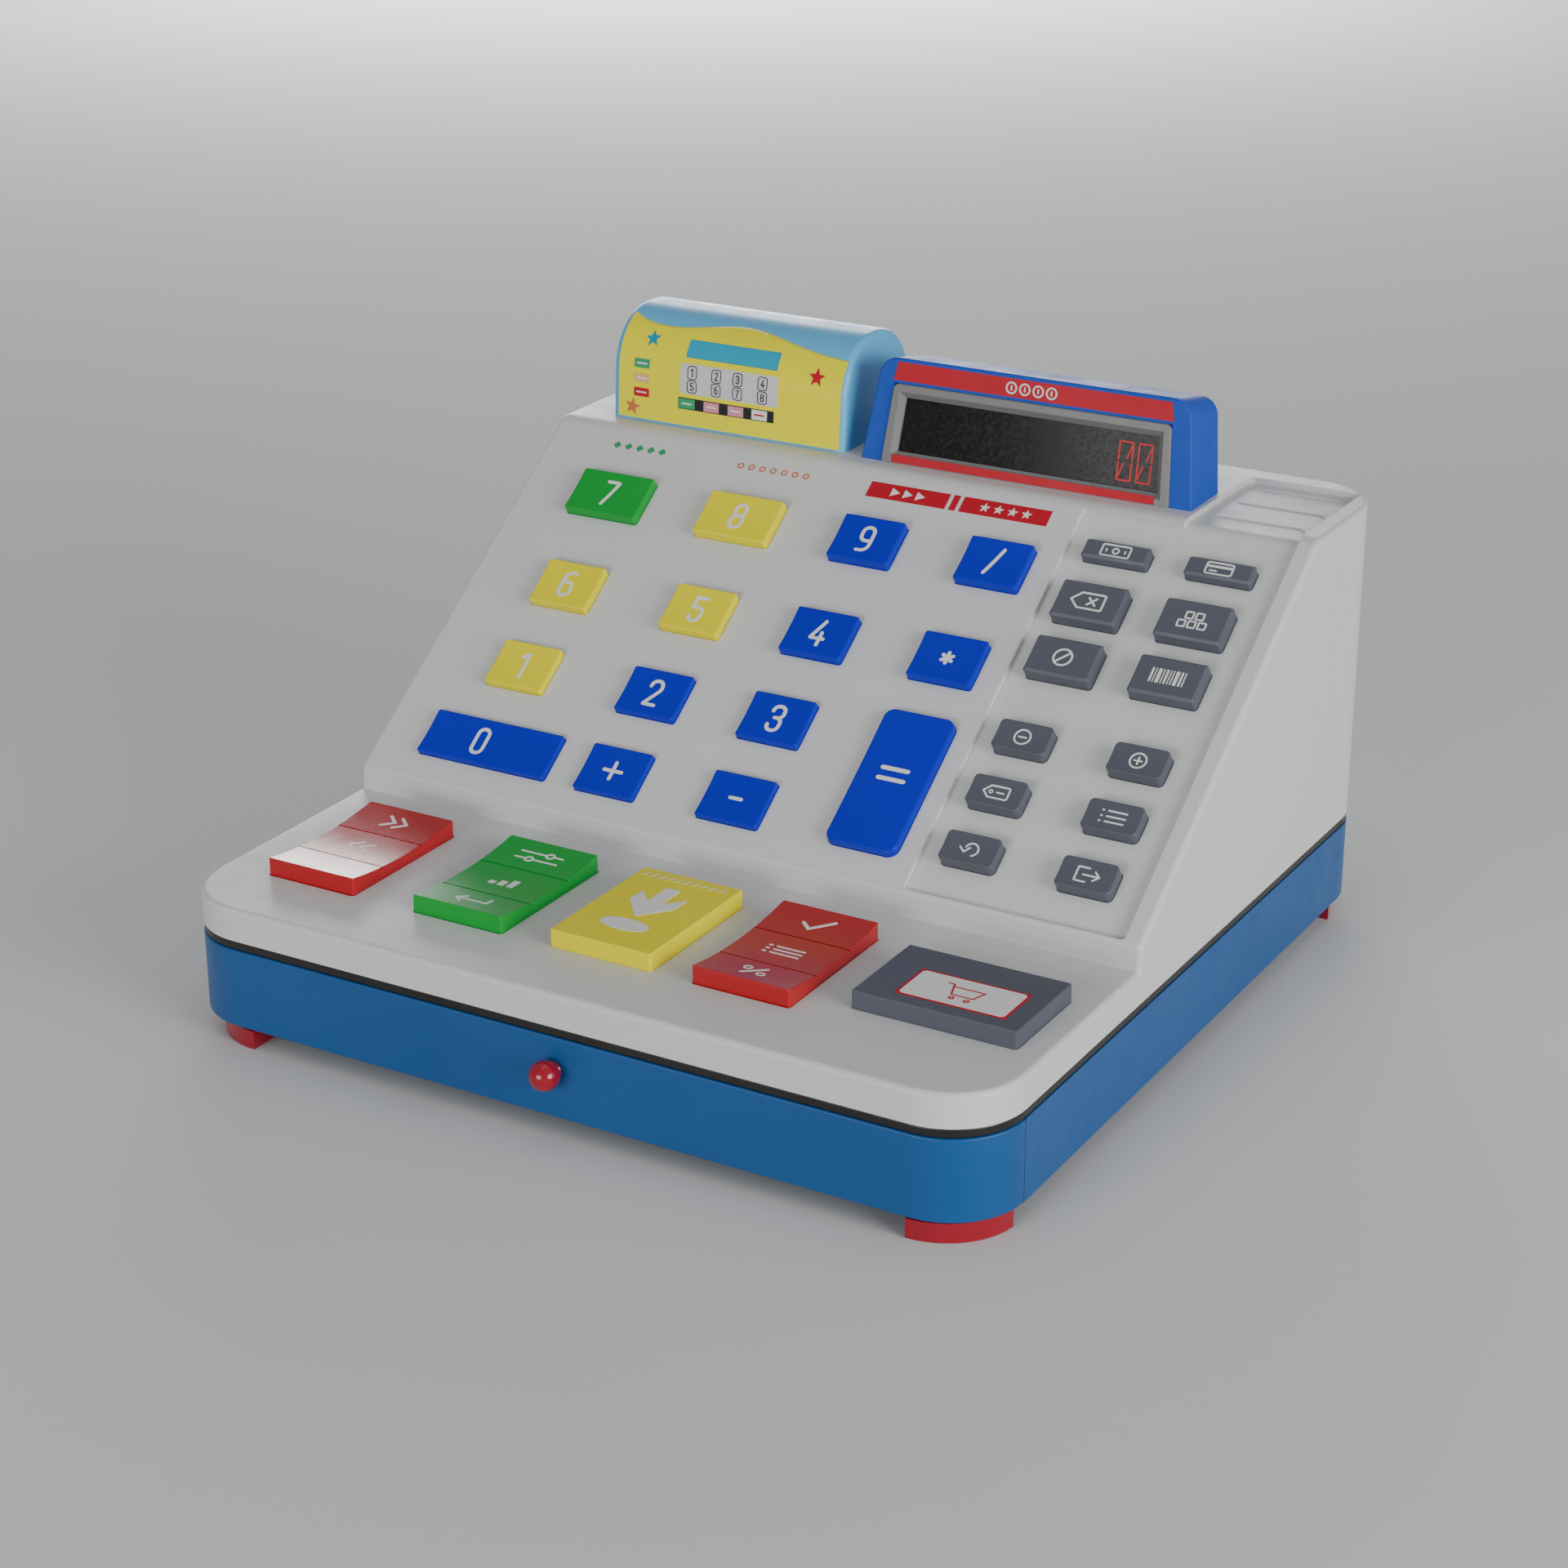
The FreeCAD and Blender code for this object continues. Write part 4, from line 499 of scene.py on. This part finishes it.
def sign_cash(m, x, y):
    m.stroke(round_rect(x - 4.8, x + 4.8, y - 2.1, y + 2.1, 0.5), THIN, True)
    m.stroke(ring(x, y, 1.0), THIN, True)
    for side in (-1, 1):
        m.stroke([(x + side * 3.2, y - 0.35), (x + side * 3.2, y + 0.35)], THIN)


def sign_card(m, x, y):
    m.stroke(round_rect(x - 4.4, x + 4.4, y - 2.1, y + 2.1, 0.7), THIN, True)
    m.stroke([(x - 4.2, y + 0.75), (x + 4.2, y + 0.75)], 0.9)
    m.stroke([(x - 2.9, y - 0.9), (x - 0.8, y - 0.9)], THIN)


def tag_outline(x, y, left, right, half):
    """A tag with its point on the left."""
    shoulder = x - left + half
    return rounded([(x - left, y), (shoulder, y + half, 0.4), (x + right, y + half, 0.5),
                    (x + right, y - half, 0.5), (shoulder, y - half, 0.4)], True)


def sign_clear(m, x, y):
    m.stroke(tag_outline(x, y, 6.0, 5.0, 2.9), THIN + 0.1, True)
    for side in (-1, 1):
        m.stroke([(x - 0.2, y - side * 1.3), (x + 2.4, y + side * 1.3)], THIN + 0.1)


def sign_stack(m, x, y):
    r = 1.2
    for cx, cy in ((-3.4, -1.7), (0.0, -1.7), (3.4, -1.7), (-1.7, 1.6), (1.7, 1.6)):
        m.stroke(round_rect(x + cx - r, x + cx + r, y + cy - r, y + cy + r, 0.3), THIN, True)


def sign_void(m, x, y):
    m.stroke(ring(x, y, 3.0), THIN + 0.1, True)
    m.stroke([(x - 2.0, y - 2.0), (x + 2.0, y + 2.0)], THIN + 0.1)


def sign_scan(m, x, y):
    spot = x - 5.6
    for width in (0.7, 0.35, 1.1, 0.35, 0.7, 0.35, 0.35, 1.1, 0.7, 0.35):
        m.patch(box_outline(spot, spot + width, y - 2.6, y + 2.6), 1.3)
        spot += width + 0.58


def sign_remove(m, x, y):
    m.stroke(ring(x, y, 2.6), THIN, True)
    m.stroke([(x - 1.2, y), (x + 1.2, y)], THIN)


def sign_add(m, x, y):
    sign_remove(m, x, y)
    m.stroke([(x, y - 1.2), (x, y + 1.2)], THIN)


def sign_item(m, x, y):
    m.stroke(tag_outline(x, y, 4.4, 4.0, 2.1), THIN, True)
    m.stroke(ring(x - 1.9, y, 0.55, 14), 0.4, True)
    m.stroke([(x + 0.2, y), (x + 2.4, y)], THIN)


def sign_menu(m, x, y):
    for level in (-1.9, 0.0, 1.9):
        m.stroke([(x - 1.9, y + level), (x + 4.0, y + level)], THIN)
        m.stroke([(x - 3.8, y + level), (x - 3.5, y + level)], THIN)


def sign_backup(m, x, y):
    m.stroke(arc(x + 0.6, y - 0.2, 2.2, -70, 160), THIN)
    m.stroke([(x - 3.3, y + 0.2), (x - 1.6, y - 1.3), (x - 0.1, y + 0.4)], THIN)


def sign_exit(m, x, y):
    door = [(x + 0.2, y + 2.4), (x - 3.4, y + 2.4, 0.4), (x - 3.4, y - 2.4, 0.4), (x + 0.2, y - 2.4)]
    m.stroke(rounded(door), THIN)
    m.stroke([(x - 1.2, y), (x + 4.0, y)], THIN)
    m.stroke([(x + 2.4, y + 1.5), (x + 4.0, y), (x + 2.4, y - 1.5)], THIN)


# name, middle across, middle up the slope, depth, rise out of the panel, dip of the top, sign
FUNCTION_KEYS = (
    ("cash", 78.8, 133.2, 7.0, 4.0, 0.25, sign_cash), ("credit", 113.9, 133.2, 7.0, 4.0, 0.25, sign_card),
    ("clear", 78.2, 112.3, 14.3, 5.0, 0.25, sign_clear),
    ("quantity", 113.4, 112.3, 14.3, 5.0, 0.25, sign_stack),
    ("void", 78.3, 90.3, 14.1, 5.1, 0.25, sign_void), ("scan", 113.4, 90.3, 14.1, 5.1, 0.25, sign_scan),
    ("remove", 77.0, 60.0, 10.6, 4.5, 0.6, sign_remove), ("add", 115.5, 60.0, 10.6, 4.5, 0.6, sign_add),
    ("item", 77.0, 39.2, 10.6, 4.5, 0.6, sign_item), ("menu", 115.5, 39.2, 10.6, 4.5, 0.6, sign_menu),
    ("backup", 77.0, 18.3, 10.6, 4.5, 0.6, sign_backup), ("exit", 115.5, 18.3, 10.6, 4.5, 0.6, sign_exit),
)


def function_keys():
    for name, x, v, depth, rise, dip, sign in FUNCTION_KEYS:
        marks = Print()
        sign(marks, 0, 0)
        surface = cap_surface(x, v, depth, rise - PANEL_DEEP, dip)
        marks.lay("sign_" + name, surface, "ink_white", "key_" + name)


# ---- deck keys ------------------------------------------------------------------------------
DECK_KEY_Y = 52.4
DECK_RISE = 5.7
ROCKER_DEPTH = 52.4
ROCKER_DIP = 2.2
RECEIPT_X = -0.3
CHECKOUT_X = 104.9


def rocker_surface(x):
    return lambda a, b, w: at(x + a, DECK_KEY_Y + b,
                              DECK_Z + DECK_RISE - ROCKER_DIP + dish(b, ROCKER_DEPTH, ROCKER_DIP) + w)


def deck_surface(x):
    return lambda a, b, w: at(x + a, DECK_KEY_Y + b, DECK_Z + DECK_RISE + w)


def sign_chevrons(way):
    def draw(m, x, y):
        for shift in (-2.2, 2.2):
            tail, tip = x + shift - way * 1.6, x + shift + way * 1.8
            m.stroke([(tail, y + 3.0), (tip, y), (tail, y - 3.0)], 1.15)
    return draw


def sign_sliders(m, x, y):
    for level, knob in ((1.9, 3.0), (-1.9, -2.6)):
        m.stroke([(x - 7.5, y + level), (x + knob - 1.9, y + level)], 0.8)
        m.stroke([(x + knob + 1.9, y + level), (x + 7.5, y + level)], 0.8)
        m.stroke(ring(x + knob, y + level, 1.25, 20), 0.8, True)


def sign_bars(m, x, y):
    for i, tall in enumerate((2.0, 3.4, 5.0)):
        left = x - 4.6 + i * 3.4
        m.patch(box_outline(left, left + 2.2, y - 2.6, y - 2.6 + tall), 1.2)


def sign_enter(m, x, y):
    m.stroke([(x + 5.6, y + 2.6), (x + 5.6, y - 0.6), (x - 5.0, y - 0.6)], 1.0)
    m.stroke([(x - 2.6, y + 1.7), (x - 5.0, y - 0.6), (x - 2.6, y - 2.9)], 1.0)


def sign_tick(m, x, y):
    m.stroke([(x - 4.2, y - 0.2), (x - 1.1, y - 2.9), (x + 4.8, y + 3.0)], 1.25)


def sign_list(m, x, y):
    for level in (2.2, 0.0, -2.2):
        m.stroke([(x - 3.4, y + level), (x + 5.6, y + level)], 0.85)
        m.stroke([(x - 5.9, y + level), (x - 5.4, y + level)], 0.95)


def sign_percent(m, x, y):
    m.stroke([(x - 2.8, y - 3.0), (x + 2.8, y + 3.0)], 0.95)
    m.stroke(ring(x - 2.9, y + 1.5, 1.15, 18), 0.75, True)
    m.stroke(ring(x + 2.9, y - 1.5, 1.15, 18), 0.75, True)


ROCKER_BANDS = (17.6, -1.2, -18.4)   # middle of each band, from the key's middle
ROCKER_SIGNS = (
    ("rocker_red_left", -105.9, (sign_chevrons(1), sign_chevrons(-1))),
    ("rocker_green", -51.2, (sign_sliders, sign_bars, sign_enter)),
    ("rocker_red_right", 47.5, (sign_tick, sign_list, sign_percent)),
)


def rockers():
    for name, x, signs in ROCKER_SIGNS:
        marks = Print()
        for level, sign in zip(ROCKER_BANDS, signs):
            sign(marks, 0, level)
        marks.lay("sign_" + name, rocker_surface(x), "ink_white", "key_" + name)


def receipt_key():
    """A torn paper edge, an arrow and an oval."""
    surface = deck_surface(RECEIPT_X)
    marks = Print()
    teeth = [(-15.0 + i * 1.47, 22.0 + (1.3 if i % 2 else -1.3)) for i in range(21)]
    marks.stroke(teeth, 0.7)
    marks.lay("sign_receipt_edge", surface, "ink_cream", "key_receipt")
    arrow = Print()
    x = -0.6
    stem = 2.5
    head = 7.9
    arrow.patch([(x - stem, 15.5), (x + stem, 15.5), (x + stem, 5.1), (x + head, 10.6), (x + head, 3.3),
                 (x, -6.2), (x - head, 3.3), (x - head, 10.6), (x - stem, 5.1)])
    arrow.patch([(-0.2 + 8.2 * p.x, -12.4 + 3.8 * p.y) for p in ring(0, 0, 1, 36)])
    arrow.lay("sign_receipt_arrow", surface, "ink_white", "key_receipt")


def checkout_key():
    """White label with a red edge and a red basket."""
    surface = deck_surface(CHECKOUT_X)
    left, right, low, high, edge = -15.0, 19.9, -12.8, 4.9, 0.9
    border = Print()
    border.patch(round_rect(left, right, low, high, 0.6), high=UNDERCOAT)
    border.lay("label_edge", surface, "ink_red", "key_checkout")
    field = Print()
    field.patch(round_rect(left + edge, right - edge, low + edge, high - edge, 1.3), high=2 * UNDERCOAT)
    field.lay("label_field", surface, "ink_white", "key_checkout")
    basket = Print()
    cx = 2.4
    cy = -4.0
    basket.stroke([(cx - 6.5, cy + 4.0), (cx - 4.6, cy + 4.0), (cx - 2.6, cy - 2.2), (cx + 4.2, cy - 2.2),
                   (cx + 5.8, cy + 2.6), (cx - 4.0, cy + 2.6)], 0.6)
    for side in (-1.6, 3.2):
        basket.stroke(ring(cx + side, cy - 4.2, 0.7, 16), 0.6, True)
    basket.lay("label_basket", raised(surface, 2 * UNDERCOAT), "ink_red", "key_checkout")


# ---- slope graphics -------------------------------------------------------------------------
MARK_ROW = 142.7         # how far up the slope the small marks stand
BAND = (139.2, 145.4)    # lower and upper edge of the red bands


def diamond(m, x, y, size):
    m.patch([(x - size, y), (x, y - size), (x + size, y), (x, y + size)])


def slope_prints():
    """Coloured marks along the top of the key panel."""
    green = Print()
    for i in range(5):
        diamond(green, -112.6 + i * 4.5, MARK_ROW, 1.5)
    green.lay("print_green", on_slope, "ink_green", "base")
    orange = Print()
    for i in range(7):
        orange.stroke(ring(-63.4 + i * 4.2, MARK_ROW, 0.95, 18), 0.55, True)
    orange.lay("print_orange", on_slope, "ink_orange", "base")
    red = Print()
    for left, right in ((-14.3, 14.9), (16.3, 18.6), (20.0, 51.5)):
        red.patch(box_outline(left, right, *BAND), high=UNDERCOAT)
    red.lay("print_red", on_slope, "ink_red", "base")
    white = Print()
    middle = sum(BAND) / 2
    for i in range(3):
        x = -4.4 + i * 4.6
        white.patch([(x - 1.4, middle - 1.7), (x + 1.8, middle), (x - 1.4, middle + 1.7)])
    for i in range(4):
        white.patch(star_points(28.4 + i * 5.0, middle, 1.9))
    white.lay("print_white", raised(on_slope, UNDERCOAT), "ink_white", "base")


def star_points(x, y, size, turn=90.0):
    """A five-pointed star; turn is where its first point looks, in degrees."""
    points = []
    for i in range(10):
        radius = size if i % 2 == 0 else size * 0.42
        a = math.radians(turn + 36 * i)
        points.append((x + radius * math.cos(a), y + radius * math.sin(a)))
    return points


# ---- price display --------------------------------------------------------------------------
DISPLAY_X = 34.3
DISPLAY_Y = 227.2
DISPLAY_LEAN = math.radians(11.0)
WINDOW_BACK = 1.82       # the window's face behind the case's front
BEZEL_OUT = 0.7          # the bezel's face before the case's front


def display_surface(depth):
    """The leaning face, depth behind its front; w comes out of it."""
    c, s = math.cos(DISPLAY_LEAN), math.sin(DISPLAY_LEAN)

    def surface(a, b, w):
        back = depth - w
        return at(DISPLAY_X + a, DISPLAY_Y + back * c + b * s, TOP_Z - back * s + b * c)

    return surface


def coin_row(m, x, y):
    for i in range(4):
        cx = x - 7.2 + i * 4.8
        m.stroke(ring(cx, y, 1.75, 24), 0.6, True)
        m.stroke([(cx, y - 0.55), (cx, y + 0.55)], 0.6)


def display_prints():
    front = display_surface(0.0)
    top = Print()
    top.patch([(-50.4, 27.2), (50.2, 27.2), (49.0, 33.3), (-49.2, 33.3)], high=UNDERCOAT)
    top.lay("display_band_top", front, "ink_red", "base")
    low = Print()
    low.patch([(-48.0, 0.2), (46.9, 0.2), (46.7, 2.9), (-47.8, 2.9)], high=UNDERCOAT)
    low.lay("display_band_low", display_surface(-BEZEL_OUT), "ink_red", "base")
    coins = Print()
    coin_row(coins, -0.2, 30.2)
    coins.lay("display_coins", raised(front, UNDERCOAT), "ink_white", "base")


def broken_nought(m, x, y, wide, tall):
    """A dim nought as the module shows it: two open cups and a slanting bar, all broken at mid height."""
    w = wide / 2
    half = tall / 2
    gap = 0.45
    for way in (-1, 1):
        cup = [(x - w, y + way * gap), (x - w, y + way * half, 0.3), (x + w, y + way * half, 0.3),
               (x + w, y + way * gap)]
        m.stroke(rounded(cup), THIN, step=0.8)
        bar = [(x + way * (w - 0.35), y + way * (half - 1.2)), (x + way * 0.5, y + way * (gap + 0.5))]
        m.stroke(bar, THIN, step=0.8)


def display_digits():
    digits = Print()
    for x in (34.3, 41.1):
        broken_nought(digits, x, 12.3, 4.7, 12.4)
    digits.lay("display_digits", display_surface(WINDOW_BACK), "segment", "base")


# ---- terminal -------------------------------------------------------------------------------
TERMINAL_Y = 228.0
TERMINAL_TALL = 36.2
TERMINAL_BEND = 20.4
TERMINAL_BACK = 1.0      # how far the straight part of the front leans back
PLATE_THICK = 0.9
TAB = (6.9, 10.3)        # lower and upper edge of the tabs on the dark strip
CURVE_STEP = 1.2         # longest piece of a filled mark on the curved front
LINE_STEP = 0.8          # and of a line on it


def terminal_surface(lift):
    """The curved front, b along its profile from the bottom edge, w outwards."""
    rise = TERMINAL_TALL - TERMINAL_BEND
    straight = math.hypot(TERMINAL_BACK, rise)
    lean = math.atan2(TERMINAL_BACK, rise)

    def surface(a, b, w):
        out = lift + w
        if b < straight:
            y = TERMINAL_Y + b * math.sin(lean) - out * math.cos(lean)
            return at(a, y, TOP_Z + b * math.cos(lean) + out * math.sin(lean))
        angle = (b - straight) / TERMINAL_BEND
        reach = TERMINAL_BEND + out
        y = TERMINAL_Y + TERMINAL_BACK + TERMINAL_BEND - reach * math.cos(angle)
        return at(a, y, TOP_Z + rise + reach * math.sin(angle))

    return surface


def terminal_fill(name, ink_name, shapes, surface, high=None):
    """Filled shapes of one ink on the terminal's faceplate."""
    marks = Print()
    for shape in shapes:
        marks.patch(shape, CURVE_STEP, high)
    marks.lay("terminal_" + name, surface, ink_name, "base")


def terminal_lines(name, ink_name, lines, surface):
    """Straight dashes (x of the middle, half length, height) of one ink on the faceplate."""
    marks = Print()
    for x, half, level in lines:
        marks.stroke([(x - half, level), (x + half, level)], 0.6, step=LINE_STEP)
    marks.lay("terminal_" + name, surface, ink_name, "base")


def side_tab(low):
    return box_outline(-115.0, -109.0, low, low + 3.0)


def strip_tab(left, wide):
    return box_outline(left, left + wide, *TAB)


def terminal_pad(surface):
    """Eight small keys, printed flat."""
    marks = Print()
    for row, level in enumerate((19.4, 14.7)):
        for column, x in enumerate((-91.8, -82.2, -73.8, -64.0)):
            edge = round_rect(x - 1.75, x + 1.75, level - 2.1, level + 2.1, 0.9)
            marks.stroke(edge, 0.32, True, LINE_STEP)
            write(marks, str(row * 4 + column + 1), x, level, 0.27, 0.42)
    marks.lay("terminal_digits", surface, "ink_black", "base")


def terminal_prints():
    face = terminal_surface(PLATE_THICK)
    above = raised(face, UNDERCOAT)
    top = raised(face, UNDERCOAT + INK)
    terminal_fill("pad", "ink_grey", [box_outline(-96.5, -58.0, 12.1, 22.2)], face, UNDERCOAT)
    terminal_fill("strip", "ink_black", [box_outline(-97.1, -59.3, 6.6, 10.6)], face, UNDERCOAT)
    terminal_fill("tab_green", "ink_green", [strip_tab(-96.9, 6.4), side_tab(18.6)], above)
    terminal_fill("tab_pink", "ink_pink", [strip_tab(-86.9, 6.0), strip_tab(-77.3, 6.1)], above)
    terminal_fill("tab_white", "ink_white", [strip_tab(-67.9, 6.0)], above)
    terminal_fill("tab_peach", "ink_peach", [side_tab(13.6)], above)
    terminal_fill("tab_red", "ink_red", [side_tab(8.7), star_points(-43.7, 24.0, 3.2)], above)
    terminal_fill("star_cyan", "ink_cyan", [star_points(-109.5, 28.8, 3.2, 98)], face)
    terminal_fill("star_orange", "ink_orange", [star_points(-115.6, 4.8, 3.2, 80)], face)
    terminal_pad(above)
    side_dashes = [(-112.0, 1.8, level) for level in (20.1, 15.1, 10.2)]
    strip_dashes = [(x, 1.8, 8.6) for x in (-93.7, -83.9, -74.2)]
    terminal_lines("dashes", "ink_white", side_dashes + strip_dashes, top)
    terminal_lines("stop", "ink_red", [(-64.9, 1.7, 8.6)], top)


# ---- stage, light and camera ----------------------------------------------------------------
FLOOR_SIZE = 24.0        # metres, far past what the camera sees of it
AIM = Vector((0, 0, 0.07))       # the lamps look at the middle of the body


def stage():
    bpy.ops.mesh.primitive_plane_add(size=FLOOR_SIZE, location=(0, 0, 0))
    floor = bpy.context.object
    floor.name = "floor"
    paper = moulded("floor_paper", [0.64, 0.64, 0.63], rough=0.95, grain=0.0, mottle=0.004, shine=0.0)
    floor.data.materials.append(paper)


def direction(azimuth, elevation):
    """The unit vector from the model towards an azimuth and an elevation."""
    flat = math.cos(elevation)
    return Vector((math.sin(azimuth) * flat, -math.cos(azimuth) * flat, math.sin(elevation)))


def area(name, azimuth, elevation, distance, wide, tall, power):
    """An oval soft box that faces the model. Azimuth 0 is in front and 90 on the right."""
    light = bpy.data.lights.new(name, "AREA")
    light.shape = "ELLIPSE"
    light.size = wide
    light.size_y = tall
    light.energy = power
    lamp = bpy.data.objects.new(name, light)
    bpy.context.scene.collection.objects.link(lamp)
    away = direction(math.radians(azimuth), math.radians(elevation))
    lamp.location = away * distance + AIM
    lamp.rotation_euler = (-away).to_track_quat("-Z", "Y").to_euler()
    lamp.visible_camera = False


def lights():
    world = bpy.data.worlds.new("studio")
    world.use_nodes = True
    world.node_tree.nodes["Background"].inputs["Color"].default_value = (0.95, 0.97, 1.0, 1)
    world.node_tree.nodes["Background"].inputs["Strength"].default_value = 0.35
    bpy.context.scene.world = world
    area("side_light", 76, 12, 1.7, 1.2, 0.9, 25.5)
    area("front_light", -6, 9, 1.8, 1.2, 0.8, 15.0)
    area("back_light", 212, 10, 2.2, 1.5, 0.75, 29.0)
    area("top_light", 0, 88, 1.9, 1.2, 1.2, 2.0)


AZIMUTH = math.radians(30.3217)
ELEVATION = math.radians(22.4697)
ROLL = math.radians(-0.1659)
EYE = (0.48460, -0.83161, 0.46060)


def camera():
    """The photograph's viewing angle: azimuth round to the right, elevation and a trace of roll."""
    lens = bpy.data.cameras.new("camera")
    lens.sensor_width = 36.0
    lens.lens = 75.61
    view = bpy.data.objects.new("camera", lens)
    bpy.context.scene.collection.objects.link(view)
    back = direction(AZIMUTH, ELEVATION)
    right = Vector((0, 0, 1)).cross(back).normalized()
    up = back.cross(right)
    x = right * math.cos(ROLL) + up * math.sin(ROLL)
    y = up * math.cos(ROLL) - right * math.sin(ROLL)
    turn = Matrix((x, y, back)).transposed().to_4x4()
    view.matrix_world = Matrix.Translation(EYE) @ turn
    bpy.context.scene.camera = view


# ---- build ----------------------------------------------------------------------------------
def paint_nodes():
    """Every node that NODE_MATERIALS doesn't name is a dark function key or a blue number key."""
    dark_keys = ["key_" + row[0] for row in FUNCTION_KEYS]
    for name, node in nodes.items():
        fallback = "key_slate" if name in dark_keys else "key_blue"
        node.data.materials.clear()
        node.data.materials.append(MATERIALS[NODE_MATERIALS.get(name, fallback)])


paint_nodes()
number_keys()
function_keys()
rockers()
receipt_key()
checkout_key()
slope_prints()
display_prints()
display_digits()
terminal_prints()
stage()
lights()
camera()
